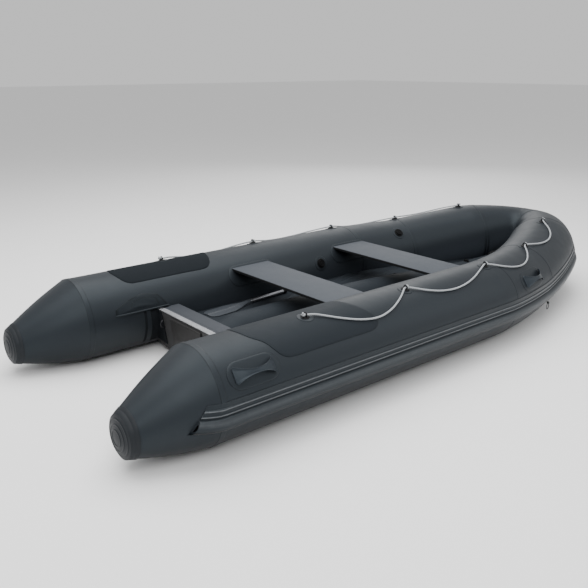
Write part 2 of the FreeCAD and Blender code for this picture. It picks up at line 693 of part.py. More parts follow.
def seat(x):
    """Bench board whose ends are shaped to the tubes."""
    board = Part.makeBox(SEAT_W, 2 * TUBE_Y, SEAT_T, V(x, -TUBE_Y, SEAT_TOP - SEAT_T))
    return largest(clear_of_tubes(board, FITTING_LOW))


def bracket(x):
    """Moulded seat holder on the tube under the end of a seat."""
    mid = x + SEAT_W / 2.0
    z = SEAT_TOP - SEAT_T - SKIN_GAP
    y = TUBE_Y - sqrt(TUBE_R ** 2 - (z - TUBE_R) ** 2)
    corner = V(mid - BRACKET_L / 2, -(y + 120.0 - BRACKET_D), z - BRACKET_H)
    box = Part.makeBox(BRACKET_L, 120.0, BRACKET_H, corner)
    return largest(clear_of_tube(box, FITTING_LOW))


def wear_patch():
    """Dark patch over the tube, with a hole for the first lifeline patch."""
    mid_run = (WEAR_AFT[0][0] + WEAR_AHEAD[-1][0]) / 2.0
    mid = (WEAR_AFT[0][1] + WEAR_AFT[-1][1]) / 2.0
    aft = Part.BSplineCurve()
    aft.interpolate(flat(WEAR_AFT, mid_run, mid))
    ahead = Part.BSplineCurve()
    ahead.interpolate(flat(WEAR_AHEAD, mid_run, mid))
    edges = [aft.toShape(), Part.LineSegment(aft.EndPoint, ahead.StartPoint).toShape(), ahead.toShape(),
             Part.LineSegment(ahead.EndPoint, aft.StartPoint).toShape()]
    body = patch(mid_run, mid, Part.Face(Part.Wire(edges)), depth=2 * TUBE_R)
    run, angle = HOLDERS[0]
    s = station(run)
    return body.cut(Part.makeCylinder(HOLDER_PATCH_R + SKIN_GAP, 60.0, s.at(angle, -30.0), s.normal(angle)))


def holder(run, angle):
    """Moulded base with an upright loop that the lifeline passes through."""
    s = station(run)
    n = s.normal(angle)
    base = Part.makeCylinder(HOLDER_BASE_R, HOLDER_BASE_T, s.at(angle, FITTING_LOW - HOLDER_BASE_SINK), n)
    ring = Part.makeTorus(LOOP_R, LOOP_WIRE / 2.0, V(0, 0, 0), V(0, 0, 1))
    ahead = s.ahead()
    side = n.cross(ahead)
    m = FreeCAD.Matrix(side.x, n.x, ahead.x, 0, side.y, n.y, ahead.y, 0, side.z, n.z, ahead.z, 0, 0, 0, 0, 1)
    ring.Placement = FreeCAD.Placement(m)
    ring.translate(s.at(angle, ROPE_LIFT))
    return largest(clear_of_tube(base.fuse(ring), FITTING_LOW))


def handle(run, angle):
    """Moulded carry handle: wide feet, a narrow raised grip."""
    wires = []
    shares = [-u for u in reversed(HANDLE_SHAPE[1:])] + list(HANDLE_SHAPE)
    for u in shares:
        s = station(run + u * HANDLE_L / 2.0)
        low = FITTING_LOW + HANDLE_RISE * (1.0 - abs(u) ** HANDLE_ARCH)
        width = HANDLE_MID_W + (HANDLE_END_W - HANDLE_MID_W) * abs(u) ** 1.6
        wires.append(sector(s, angle, width, low, low + HANDLE_T))
    return Part.makeLoft(wires, True, True)


def valve(run, angle):
    s = station(run)
    n = s.normal(angle)
    body = Part.makeCylinder(VALVE_R, VALVE_H + 3.0, s.at(angle, FITTING_LOW - 3.0), n)
    body = clear_of_tube(body, FITTING_LOW)
    lid = Part.makeCylinder(VALVE_R * 0.72, 4.0, s.at(angle, FITTING_LOW + VALVE_H - 0.5), n)
    return largest(body.fuse(lid))


def up_frame(origin, x_axis, z_axis):
    """Placement with a given local X and Z."""
    y_axis = z_axis.cross(x_axis)
    m = FreeCAD.Matrix(x_axis.x, y_axis.x, z_axis.x, origin.x, x_axis.y, y_axis.y, z_axis.y, origin.y,
                       x_axis.z, y_axis.z, z_axis.z, origin.z, 0, 0, 0, 1)
    return FreeCAD.Placement(m)


def ring_axis():
    """Centre and direction of the tow ring's pivot."""
    s = station(RING_RUN)
    p = s.at(RING_ANGLE, SKIN_GAP + RING_STAND)
    a = s.ahead()
    a = V(a.x, a.y, 0).normalize()
    return p, a


def tow_ring():
    """Steel ring hanging from its pivot."""
    p, a = ring_axis()
    drop = V(0, 0, -1)
    body = Part.makeTorus(RING_R, RING_WIRE / 2.0, V(0, 0, 0), V(0, 0, 1))
    body.Placement = up_frame(p + drop * RING_R, a, a.cross(drop))
    return body


def ring_strap():
    """Webbing tab glued under the bow that holds the tow ring in its fold."""
    p, a = ring_axis()
    s = station(RING_RUN)
    n = s.normal(RING_ANGLE)
    hole = RING_WIRE / 2.0 + RING_PLAY
    outer = Part.makeCylinder(hole + RING_STRAP_T, RING_STRAP_W, p - a * (RING_STRAP_W / 2), a)
    web = Part.makeBox(RING_STRAP_W, 2 * RING_STRAP_T, 2 * RING_STAND)
    web.translate(V(-RING_STRAP_W / 2, -RING_STRAP_T, -2 * RING_STAND))
    side = n - a * n.dot(a)
    side.normalize()
    web.Placement = up_frame(p, a, side).multiply(web.Placement)
    body = clear_of_tube(outer.fuse(web), SKIN_GAP)
    pocket = Part.makeCylinder(hole, RING_STRAP_W + 2, p - a * (RING_STRAP_W / 2 + 1), a)
    foot = patch(RING_RUN, RING_ANGLE, slot_face(*RING_FOOT))
    return largest(body.cut(pocket).fuse(foot))


def paddle(x, y, yaw):
    """Blade, shaft and end socket of a stowed paddle, blade aft, lying on its tip and its socket."""
    wires = []
    end_r, end_l = PADDLE_END
    for u, w, h in ((0.0,) + PADDLE_TIP, (0.10, 1.0, 9.0), (0.55, 0.86, 12.0), (0.85, 0.42, 18.0), (1.0, 0.20, 24.0)):
        half = PADDLE_BLADE_W * w / 2.0
        px = u * PADDLE_BLADE_L
        low = -PADDLE_SHAFT_D / 2.0
        pts = [V(px, -half, low), V(px, half, low), V(px, half, low + h / 2), V(px, 0, low + h),
               V(px, -half, low + h / 2)]
        wires.append(Part.makePolygon(pts + pts[:1]))
    blade = Part.makeLoft(wires, True, True)
    shaft = Part.makeCylinder(PADDLE_SHAFT_D / 2.0, PADDLE_SHAFT_L, V(PADDLE_BLADE_L, 0, 0), V(1, 0, 0))
    end = Part.makeCylinder(end_r, end_l, V(PADDLE_BLADE_L + PADDLE_SHAFT_L, 0, 0), V(1, 0, 0))
    tilt = degrees((end_r - PADDLE_SHAFT_D / 2.0) / (PADDLE_BLADE_L + PADDLE_SHAFT_L))
    for body in (blade, shaft, end):
        body.rotate(V(0, 0, 0), V(0, 1, 0), -tilt)
        body.rotate(V(0, 0, 0), V(0, 0, 1), yaw)
        body.translate(V(x, y, FLOOR_Z + SKIN_GAP + PADDLE_SHAFT_D / 2.0))
    return blade, shaft, end


def rope_path(points):
    """Straight runs joined by tangent arcs, with the arcs' radii."""
    edges = []
    radii = []
    here = points[0]
    for a, b, c in zip(points, points[1:], points[2:]):
        ab = b - a
        bc = c - b
        turn = ab.getAngle(bc)
        r = BEND_SHARE * min(ab.Length, bc.Length) / tan(turn / 2.0)
        radii.append(r)
        cut = r * tan(turn / 2.0)
        u = V(ab).normalize()
        w = V(bc).normalize()
        start = b - u * cut
        end = b + w * cut
        inward = (w - u).normalize()
        middle = b + inward * (r / cos(turn / 2.0) - r)
        edges.append(Part.LineSegment(here, start).toShape())
        edges.append(Part.Arc(start, middle, end).toShape())
        here = end
    edges.append(Part.LineSegment(here, points[-1]).toShape())
    return Part.Wire(edges), radii


def knot_offset():
    """Distance from a holder's loop to the centre of the knot that rests against it."""
    reach = KNOT_R + LOOP_WIRE / 2.0 + SKIN_GAP
    across = LOOP_R - KNOT_RAISE
    return sqrt(reach * reach - across * across)


def knot(run, angle, side):
    """Stopper knot against the aft or forward side of a holder's loop."""
    s = station(run)
    return Part.makeSphere(KNOT_R, s.at(angle, ROPE_LIFT + KNOT_RAISE) + s.ahead() * (side * knot_offset()))


def lifeline():
    """The rope through the holders, and the two knots that stop it."""
    points = [station(r).at(a, h) for r, a, h in LIFELINE]
    path, radii = rope_path(points)
    start = (path.Edges[0].Vertexes[0].Point, path.Edges[0].tangentAt(0))
    section = Part.Wire([Part.makeCircle(ROPE_D / 2.0, start[0], start[1])])
    rope = path.makePipeShell([section], True, False)
    knots = [knot(*HOLDERS[0], -1), knot(*HOLDERS[-1], 1)]
    print("lifeline", round(path.Length, 1), "volume ratio",
          round(rope.Volume / (pi * ROPE_D ** 2 / 4 * path.Length), 4), "radii", [round(r) for r in radii])
    for ball in knots:
        rope = rope.cut(ball)
    return largest(rope), Part.Compound(knots)


def build():
    nodes = {}

    def pair(name, solid):
        nodes[name + "_starboard"] = solid
        nodes[name + "_port"] = mirror(solid)

    pair("side_tube", side_tube())
    pair("stern_cone", cone())
    pair("cone_cap", cap())
    pair("bow_quarter", bow_quarter())
    nodes["bow_nose"] = bow_nose()
    pair("rub_strake", strake_side())
    pair("rub_strake_bow", strake_bow())
    nodes["hull_bottom"] = hull_bottom()
    nodes["keel_tube"] = keel_tube()
    nodes["floor_cloth"] = floor_cloth()
    nodes["keel_valves"] = Part.Compound([keel_valve(x, lean) for x, lean in KEEL_VALVES])
    nodes["transom_board"] = transom_board()
    nodes["transom_strip"] = top_strip()
    nodes["transom_shelf"] = shelf()
    nodes["clamp_pad"] = clamp_pad()
    nodes["transom_flanges"] = Part.Compound([flange(-1), flange(1)])
    nodes["transom_knees"] = Part.Compound([knee(-1), knee(1)])
    nodes["transom_eyes"] = Part.Compound([eye(-1), eye(1)])
    nodes["seat_aft"] = seat(SEAT_X[0])
    nodes["seat_forward"] = seat(SEAT_X[1])
    brackets = [bracket(x) for x in SEAT_X]
    nodes["seat_brackets"] = Part.Compound(brackets + [mirror(b) for b in brackets])
    pair("wear_patch", wear_patch())
    pair("seat_patches", Part.Compound([patch(x + SEAT_W / 2.0, SEAT_PATCH_ANGLE, slot_face(*SEAT_PATCH))
                                        for x in SEAT_X]))
    pair("lifeline_patches", Part.Compound([patch(r, a, disc(HOLDER_PATCH_R)) for r, a in HOLDERS]))
    pair("lifeline_holders", Part.Compound([holder(r, a) for r, a in HOLDERS]))
    for name, (r, a) in zip(("stern_handle", "bow_handle"), HANDLES):
        pair(name, handle(r, a))
    pair("handle_patches", Part.Compound([patch(r, a, slot_face(*HANDLE_PATCH)) for r, a in HANDLES]))
    pair("air_valves", Part.Compound([valve(r, a) for r, a in VALVES]))
    pair("valve_patches", Part.Compound([patch(r, a, disc(VALVE_PATCH_R)) for r, a in VALVES]))
    pair("tow_ring", tow_ring())
    pair("tow_ring_strap", ring_strap())
    rope, knots = lifeline()
    pair("lifeline", rope)
    pair("lifeline_knots", knots)
    paddles = [paddle(*place) for place in PADDLES]
    for i, name in enumerate(("paddle_blades", "paddle_shafts", "paddle_ends")):
        nodes[name] = Part.Compound([p[i] for p in paddles])
    return nodes


def main():
    nodes = build()
    os.makedirs("parts", exist_ok=True)
    rigid = [s for n, s in nodes.items() if "lifeline_knots" not in n and n[:9] != "lifeline_"]
    box = Part.Compound(rigid).optimalBoundingBox(False)
    origin = V((box.XMin + box.XMax) / 2.0, 0, box.ZMin)
    print("box", box, "origin", origin)
    for name, shape in nodes.items():
        shape.translate(origin * -1.0)
        shape.exportStep("parts/%s.step" % name)
        print(name, len(shape.Solids), round(shape.Volume / 1e6, 3), shape.isValid())


main()
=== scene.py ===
"""Looks of a soft inflatable boat: round side tubes with stern cones, a curved bow, a ribbed rub strake,
a cloth floor over an inflatable keel, a wooden transom, two benches, carry handles, lifelines and tow rings.

Metres. +X to the bow, +Y to port, +Z up. Distances along the tubes ("run") start at the seam between the stern
cone and the side tube, and angles go round the tube from its outboard side over the top.
"""

import logging
import math
import random
from contextlib import contextmanager
from dataclasses import dataclass, field
from enum import Enum
from functools import cache
from typing import Callable, Iterator, NamedTuple, Sequence

import bmesh
import bpy
from mathutils import Matrix, Vector


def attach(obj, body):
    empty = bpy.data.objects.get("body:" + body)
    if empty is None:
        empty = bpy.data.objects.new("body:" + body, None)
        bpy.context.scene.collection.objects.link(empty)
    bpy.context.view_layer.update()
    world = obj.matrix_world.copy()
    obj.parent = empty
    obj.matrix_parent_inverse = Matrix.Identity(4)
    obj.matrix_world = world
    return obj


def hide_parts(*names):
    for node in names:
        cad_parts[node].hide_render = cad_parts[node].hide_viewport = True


logging.basicConfig(level=logging.INFO, format="%(name)s: %(message)s")
LOG = logging.getLogger("boat")

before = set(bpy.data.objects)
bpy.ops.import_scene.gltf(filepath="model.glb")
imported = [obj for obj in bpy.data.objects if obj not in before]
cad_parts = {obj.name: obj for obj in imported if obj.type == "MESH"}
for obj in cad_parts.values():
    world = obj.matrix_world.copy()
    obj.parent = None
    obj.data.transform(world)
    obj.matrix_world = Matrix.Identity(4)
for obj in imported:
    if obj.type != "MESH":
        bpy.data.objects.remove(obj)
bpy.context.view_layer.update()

Point = tuple[float, float]
Triple = tuple[float, float, float]
Spot = tuple[Vector, Vector, Vector]
Object = bpy.types.Object
Node = bpy.types.Node
NodeTree = bpy.types.NodeTree
Socket = bpy.types.NodeSocket
Places = bpy.types.bpy_prop_collection

WELD = 1e-5
TURN = 6.2832
AHEAD, UP = Vector((1, 0, 0)), Vector((0, 0, 1))


class Side(Enum):
    """The two sides of the boat, by the sign of Y."""

    STARBOARD = -1
    PORT = 1

    @property
    def label(self) -> str:
        """Name used at the end of a piece's name."""
        return self.name.lower()


class Station(NamedTuple):
    """A cross-section of a side tube."""

    centre: Vector
    out: Vector
    up: Vector
    ahead: Vector
    radius: float


@dataclass
class TubeForm:
    """The line and thickness of the inflated tube from the cone's tip to the nose."""

    mid_x: float = 1.773492
    ground: float = 0.0005015
    radius: float = 0.250
    half_spread: float = 0.668
    bow_start: float = 2.143
    bow_x: float = 3.757
    shoulder: float = 0.358
    fullness: float = 0.372
    nose_radius: float = 0.154
    taper_start: float = 3.440
    sheer: float = 0.146
    sheer_start: float = 2.673
    cone_length: float = 0.375
    cone_tip: float = 0.100
    cone_drop: float = 0.075
    cone_splay: float = 0.011
    cone_bulge: float = 0.010
    seam_t: float = 0.62
    runs: list[float] = field(default_factory=list)

    def __post_init__(self) -> None:
        """Measure the bow curve once."""
        steps = 200
        self.runs = [self.bow_start]
        for i in range(steps):
            a = self.bow_plan(i / steps)
            b = self.bow_plan((i + 1) / steps)
            self.runs.append(self.runs[-1] + math.hypot(b[0] - a[0], b[1] - a[1]))

    @property
    def length(self) -> float:
        """Run of the nose, on the centre plane."""
        return self.runs[-1]

    @property
    def quarter_end(self) -> float:
        """Run of the seam between the bow quarter and the nose.

        Returns:
            The run.
        """
        k = self.seam_t * (len(self.runs) - 1)
        low = int(k)
        return self.runs[low] + (self.runs[low + 1] - self.runs[low]) * (k - low)

    def bow_plan(self, t: float) -> tuple[float, float, float, float]:
        """Point and direction of the starboard bow curve in plan.

        Args:
            t: Parameter of the cubic, 0 at the side tube and 1 on the centre plane.

        Returns:
            x, y, and their derivatives.
        """
        p = ((self.bow_start, -self.half_spread), (self.bow_start + self.shoulder, -self.half_spread),
             (self.bow_x, -self.fullness), (self.bow_x, 0.0))
        s = 1 - t
        w = (s ** 3, 3 * s * s * t, 3 * s * t * t, t ** 3)
        d = (-3 * s * s, 3 * s * s - 6 * s * t, 6 * s * t - 3 * t * t, 3 * t * t)
        x, y = (sum(a * q[k] for a, q in zip(w, p)) for k in (0, 1))
        dx, dy = (sum(a * q[k] for a, q in zip(d, p)) for k in (0, 1))
        return x, y, dx, dy

    def bow_t(self, run: float) -> float:
        """Parameter of the bow curve at a run.

        Args:
            run: Distance along the axis.

        Returns:
            The parameter, 1 from the nose on.
        """
        steps = len(self.runs) - 1
        for k in range(steps):
            if run <= self.runs[k + 1]:
                return (k + (run - self.runs[k]) / (self.runs[k + 1] - self.runs[k])) / steps
        return 1.0

    def rise(self, run: float) -> float:
        """Height of the axis above its level along the side."""
        return self.sheer * max(0.0, (run - self.sheer_start) / (self.length - self.sheer_start)) ** 1.25

    def station(self, run: float, side: Side = Side.STARBOARD) -> Station:
        """The tube's cross-section.

        Args:
            run: Distance along the axis; past the nose it goes on along the other side.
            side: The side that the run starts on.

        Returns:
            Its centre, directions and radius.
        """
        if run > self.length:
            other = Side.PORT if side is Side.STARBOARD else Side.STARBOARD
            s = self.station(2 * self.length - run, other)
            return Station(s.centre, s.out, s.up, -s.ahead, s.radius)
        if run <= self.bow_start:
            u = max(0.0, -run / self.cone_length)
            r = self.radius + (self.cone_tip - self.radius) * u + self.cone_bulge * math.sin(math.pi * min(u, 1.0))
            c = Vector((run, -self.half_spread - self.cone_splay * u, self.radius - self.cone_drop * u))
            out, up, ahead = Vector((0, -1, 0)), Vector((0, 0, 1)), Vector((1, 0, 0))
        else:
            x, y, dx, dy = self.bow_plan(self.bow_t(run))
            slope = 0.0 if run > self.length - 0.002 else (self.rise(run + 0.001) - self.rise(run - 0.001)) / 0.002
            ahead = Vector((dx, dy, math.hypot(dx, dy) * slope)).normalized()
            out = Vector((dy, -dx, 0)).normalized()
            up = ahead.cross(out) * -1.0
            if up.z < 0:
                up = -up
            u = max(0.0, (run - self.taper_start) / (self.length - self.taper_start))
            r = self.radius + (self.nose_radius - self.radius) * u ** 1.2
            c = Vector((x, y, self.radius + self.rise(run)))
        c = c + Vector((-self.mid_x, 0, self.ground))
        if side is Side.PORT:
            c, out, up, ahead = (Vector((v.x, -v.y, v.z)) for v in (c, out, up, ahead))
        return Station(c, out, up, ahead, r)

    def skin(self, run: float, angle: float, height: float = 0.0, side: Side = Side.STARBOARD) -> Vector:
        """Point on or above the skin.

        Args:
            run: Distance along the axis.
            angle: Degrees round from the outboard side.
            height: Metres above the skin.
            side: Side of the boat.

        Returns:
            The point.
        """
        s = self.station(run, side)
        a = math.radians(angle)
        return s.centre + (s.out * math.cos(a) + s.up * math.sin(a)) * (s.radius + height)

    def normal(self, run: float, angle: float, side: Side) -> Vector:
        """Outward direction of the skin.

        Args:
            run: Distance along the axis.
            angle: Degrees round from the outboard side.
            side: Side of the boat.

        Returns:
            The unit direction.
        """
        s = self.station(run, side)
        a = math.radians(angle)
        return s.out * math.cos(a) + s.up * math.sin(a)

    def folded(self, run: float) -> float:
        """A run past the nose, taken back along the other side."""
        return min(run, 2 * self.length - run)

    def place(self, x: float, y: float, z: float) -> Vector:
        """A point given from the cone seam, the centre plane and the ground line."""
        return Vector((x - self.mid_x, y, z + self.ground))


FORM = TubeForm()


def smooth(u: float) -> float:
    """Smooth step between 0 and 1."""
    u = min(max(u, 0.0), 1.0)
    return u * u * (3 - 2 * u)


def spread(a: float, b: float, step: float, marks: Sequence[float] = (), fine: float = 0.0015) -> list[float]:
    """Positions from a to b, closer together round some marks.

    Args:
        a: First position.
        b: Last position.
        step: Widest spacing.
        marks: Places that get a fine group of positions.
        fine: Spacing in such a group.

    Returns:
        Sorted positions.
    """
    n = max(1, math.ceil(abs(b - a) / step))
    rows = [a + (b - a) * i / n for i in range(n + 1)]
    for m in marks:
        rows += [m + fine * k for k in (-2, -1, 0, 1, 2) if a < m + fine * k < b]
    rows.sort()
    kept = rows[:1]
    for r in rows[1:]:
        if r - kept[-1] > fine * 0.5:
            kept.append(r)
    kept[-1] = b
    return kept


def turns(n: int) -> list[Point]:
    """Cosine and sine of n even steps round a circle."""
    return [(math.cos(2 * math.pi * k / n), math.sin(2 * math.pi * k / n)) for k in range(n)]


def circle(centre: Vector, a: Vector, b: Vector, radius: float, n: int) -> list[Vector]:
    """Points of a circle in the plane of two directions."""
    return [centre + (a * c + b * s) * radius for c, s in turns(n)]


class Shop:
    """Turns points into finished pieces."""

    @staticmethod
    def link(name: str, data: bpy.types.ID) -> Object:
        """Put a mesh, curve, light or camera into the scene as an object.

        Args:
            name: Name of the object.
            data: What it shows.

        Returns:
            The object.
        """
        obj = bpy.data.objects.new(name, data)
        bpy.context.scene.collection.objects.link(obj)
        return obj

    @staticmethod
    @contextmanager
    def editing(obj: Object) -> Iterator[bmesh.types.BMesh]:
        """An object's mesh open for editing, closed with its faces turned outwards.

        Args:
            obj: The object.

        Yields:
            The mesh, open.
        """
        bm = bmesh.new()
        bm.from_mesh(obj.data)
        yield bm
        bmesh.ops.recalc_face_normals(bm, faces=bm.faces)
        bm.to_mesh(obj.data)
        bm.free()

    @staticmethod
    def shaded(obj: Object, sharp: float | None = None) -> None:
        """Shade smooth, apart from edges sharper than an angle in degrees.

        Args:
            obj: The object.
            sharp: The angle; without it, every edge is smooth.
        """
        obj.data.polygons.foreach_set("use_smooth", [True] * len(obj.data.polygons))
        if sharp is not None:
            obj.data.set_sharp_from_angle(angle=math.radians(sharp))

    @staticmethod
    def mark(obj: Object, name: str, values: Sequence[float] = ()) -> None:
        """Store a number on each point, 0 where no values are given.

        Args:
            obj: The object.
            name: Name of the attribute.
            values: The numbers.
        """
        layer = obj.data.attributes.new(name, "FLOAT", "POINT")
        if values:
            layer.data.foreach_set("value", values)

    @staticmethod
    def outwards(obj: Object) -> None:
        """Turn a closed shell's faces outwards."""
        with Shop.editing(obj):
            pass

    @staticmethod
    def mesh(name: str, points: Sequence[Vector], faces: Sequence[Sequence[int]],
             facing: Callable[[Vector], Vector] | None = None) -> Object:
        """Object from points and faces.

        Args:
            name: Piece name.
            points: Vertices.
            faces: Vertex indices of each face.
            facing: Gives the outward direction near a point; without it, the closed shell is recalculated.

        Returns:
            The object, shaded smooth.
        """
        data = bpy.data.meshes.new(name)
        data.from_pydata([tuple(p) for p in points], [], [tuple(f) for f in faces])
        data.update()
        obj = Shop.link(name, data)
        if facing is None:
            Shop.outwards(obj)
        elif sum(p.normal.dot(facing(p.center)) * p.area for p in data.polygons) < 0:
            data.flip_normals()
        Shop.shaded(obj)
        return obj

    @staticmethod
    def loft(name: str, rings: Sequence[Sequence[Vector]], along: Sequence[float] | float, around: float,
             closed: bool = True, caps: tuple[bool, bool] = (False, False),
             facing: Callable[[Vector], Vector] | None = None) -> Object:
        """Surface through rings of points, with a UV map in metres.

        Args:
            name: Piece name.
            rings: Rows of points of equal number.
            along: U of each ring, or the step between rings.
            around: Step in V between a ring's points.
            closed: Join each ring's last point to its first.
            caps: Close the first and the last ring with a face.
            facing: Outward direction near a point, needed for an open surface.

        Returns:
            The object.
        """
        n = len(rings[0])
        us = [along * i for i in range(len(rings))] if isinstance(along, float) else along
        vs = [around * k for k in range(n + 1)]
        faces, uvs = [], []
        for i in range(len(rings) - 1):
            for j in range(n if closed else n - 1):
                k = (j + 1) % n
                faces.append((i * n + j, i * n + k, (i + 1) * n + k, (i + 1) * n + j))
                uvs.append(((us[i], vs[j]), (us[i], vs[j + 1]), (us[i + 1], vs[j + 1]), (us[i + 1], vs[j])))
        for wanted, i in zip(caps, (0, len(rings) - 1)):
            if wanted:
                faces.append([i * n + j for j in range(n)])
                uvs.append([(us[i], vs[j]) for j in range(n)])
        obj = Shop.mesh(name, [p for ring in rings for p in ring], faces, facing or (lambda p: Vector()))
        layer = obj.data.uv_layers.new(name="cloth")
        for poly, face, uv in zip(obj.data.polygons, faces, uvs):
            places = dict(zip(face, uv))
            for loop in poly.loop_indices:
                layer.data[loop].uv = places[obj.data.loops[loop].vertex_index]
        if facing is None:
            Shop.outwards(obj)
        return obj

    @staticmethod
    def tube(name: str, path: Sequence[Vector], radius: float, sides: int = 12, closed: bool = False) -> Object:
        """Round tube along a path, its frames carried along without twist.

        Args:
            name: Piece name.
            path: Points of its axis.
            radius: Half its thickness.
            sides: Points round it.
            closed: Join its end to its start.

        Returns:
            The object.
        """
        n = len(path)
        tangents = []
        for i in range(n):
            a = path[(i - 1) % n] if closed or i else path[0]
            b = path[(i + 1) % n] if closed or i < n - 1 else path[-1]
            tangents.append((b - a).normalized())
        side = tangents[0].orthogonal().normalized()
        rings = []
        for p, t in zip(path, tangents):
            side = (side - t * side.dot(t)).normalized()
            rings.append(circle(p, side, t.cross(side), radius, sides))
        if closed:
            rings.append(rings[0])
        along = [0.0]
        for a, b in zip(rings, rings[1:]):
            along.append(along[-1] + (b[0] - a[0]).length)
        obj = Shop.loft(name, rings, along, 2 * math.pi * radius / sides, caps=(not closed, not closed))
        if closed:
            with Shop.editing(obj) as bm:
                bmesh.ops.remove_doubles(bm, verts=bm.verts, dist=WELD)
        return obj

    @staticmethod
    def lathe(name: str, profile: Sequence[Point], centre: Vector, axis: Vector, sides: int = 48) -> Object:
        """Turned piece.

        Args:
            name: Piece name.
            profile: Radius and height of each point; a radius of 0 is a pole.
            centre: Where height 0 lies.
            axis: Direction of the heights.
            sides: Points round the axis.

        Returns:
            The object.
        """
        z = axis.normalized()
        x = z.orthogonal().normalized()
        points: list[Vector] = []
        rows: list[list[int]] = []
        for r, h in profile:
            base, pole = len(points), r < WELD
            points += [centre + z * h] if pole else circle(centre + z * h, x, z.cross(x), r, sides)
            rows.append([base if pole else base + k for k in range(sides)])
        faces = [list(dict.fromkeys((a[k], a[(k + 1) % sides], b[(k + 1) % sides], b[k])))
                 for a, b in zip(rows, rows[1:]) for k in range(sides)]
        return Shop.mesh(name, points, [face for face in faces if len(face) > 2])

    @staticmethod
    def block(name: str, low: Vector, high: Vector) -> Object:
        """Plain box between two corners.

        Args:
            name: Piece name.
            low: Its lowest corner.
            high: Its highest corner.

        Returns:
            The box.
        """
        points = [Vector((x, y, z)) for x in (low.x, high.x) for y in (low.y, high.y) for z in (low.z, high.z)]
        faces = [(0, 1, 3, 2), (4, 6, 7, 5), (0, 4, 5, 1), (2, 3, 7, 6), (1, 5, 7, 3), (0, 2, 6, 4)]
        obj = Shop.mesh(name, points, faces)
        obj.data.polygons.foreach_set("use_smooth", [False] * 6)
        return obj

    @staticmethod
    def joined(name: str, parts: Sequence[Object]) -> Object:
        """Join objects that already lie in the boat's frame into one.

        Args:
            name: Piece name.
            parts: The objects, which are removed.

        Returns:
            The joined object.
        """
        bm = bmesh.new()
        for part in parts:
            bm.from_mesh(part.data)
        data = bpy.data.meshes.new(name)
        bm.to_mesh(data)
        bm.free()
        for part in parts:
            bpy.data.objects.remove(part)
        return Shop.link(name, data)

    @staticmethod
    def evaluated(obj: Object) -> bpy.types.Mesh:
        """Plain mesh of an object as its modifiers or its spline make it."""
        return bpy.data.meshes.new_from_object(obj.evaluated_get(bpy.context.evaluated_depsgraph_get()))

    @staticmethod
    def settled(obj: Object) -> Object:
        """Keep an object's evaluated mesh and drop its modifiers.

        Args:
            obj: The object.

        Returns:
            The object.
        """
        data = Shop.evaluated(obj)
        obj.modifiers.clear()
        obj.data = data
        return obj

    @staticmethod
    def refined(node: str, bevel: float, segments: int = 2) -> Object:
        """A node's solid with rounded edges.

        Args:
            node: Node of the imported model.
            bevel: Radius of the rounded edges.
            segments: Facets of each rounding.

        Returns:
            The new object, which still has to be dressed.
        """
        obj = Shop.link(node + "_finished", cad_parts[node].data.copy())
        obj.data.materials.clear()
        with Shop.editing(obj) as bm:
            bmesh.ops.remove_doubles(bm, verts=bm.verts, dist=WELD)
            bmesh.ops.dissolve_limit(bm, angle_limit=math.radians(1.0), verts=bm.verts, edges=bm.edges)
        if bevel > 0:
            mod = obj.modifiers.new("edges", "BEVEL")
            mod.width, mod.segments, mod.harden_normals = bevel, segments, False
            mod.limit_method, mod.angle_limit = "ANGLE", math.radians(30)
            Shop.settled(obj)
        Shop.shaded(obj, 32)
        return obj

    @staticmethod
    def finish(obj: Object, finish: "Finish", slot: str, nodes: Sequence[str] = (), body: str = "root") -> None:
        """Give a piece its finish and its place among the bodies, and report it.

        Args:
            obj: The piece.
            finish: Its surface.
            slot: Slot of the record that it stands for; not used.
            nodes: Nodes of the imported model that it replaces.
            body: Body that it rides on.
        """
        obj.data.materials.clear()
        obj.data.materials.append(finish.material())
        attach(obj, body)
        if nodes:
            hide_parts(*nodes)
        LOG.info("%s: %d faces, %s", obj.name, len(obj.data.polygons), finish.name)


class Wiring:
    """Small helper for shader and geometry node trees."""

    def __init__(self, tree: NodeTree) -> None:
        """Wire a tree."""
        self.tree = tree

    def add(self, kind: str, inputs: dict | None = None, **settings: object) -> Node:
        """Add a node.

        Args:
            kind: The node's type name.
            inputs: Values or sockets for its inputs, by name or index.
            **settings: Attributes of the node.

        Returns:
            The node.
        """
        node = self.tree.nodes.new(kind)
        for key, value in settings.items():
            setattr(node, key, value)
        for key, value in (inputs or {}).items():
            if isinstance(value, Socket):
                self.tree.links.new(value, node.inputs[key])
            else:
                node.inputs[key].default_value = value
        return node

    def out(self, kind: str, inputs: dict | None = None, **settings: object) -> Socket:
        """Add a node and give its first result."""
        return self.add(kind, inputs, **settings).outputs[0]

    def math(self, operation: str, a: object, b: object = 0.0, c: object = 0.0) -> Socket:
        """A math node's result."""
        return self.out("ShaderNodeMath", {0: a, 1: b, 2: c}, operation=operation)

    def scaled(self, vector: object, factor: object) -> Socket:
        """A vector or colour times a factor."""
        return self.out("ShaderNodeVectorMath", {0: vector, "Scale": factor}, operation="SCALE")

    def noise(self, spot: Socket, scale: float, detail: float, roughness: float = 0.5) -> Socket:
        """Noise between 0 and 1."""
        inputs = {"Vector": spot, "Scale": scale, "Detail": detail, "Roughness": roughness}
        return self.out("ShaderNodeTexNoise", inputs)

    def bump(self, strength: float, distance: float, height: Socket, under: Socket | None = None) -> Socket:
        """Normal tilted by a height, over another bump where one is given."""
        inputs = {"Strength": strength, "Distance": distance, "Height": height}
        return self.out("ShaderNodeBump", inputs | ({"Normal": under} if under else {}))


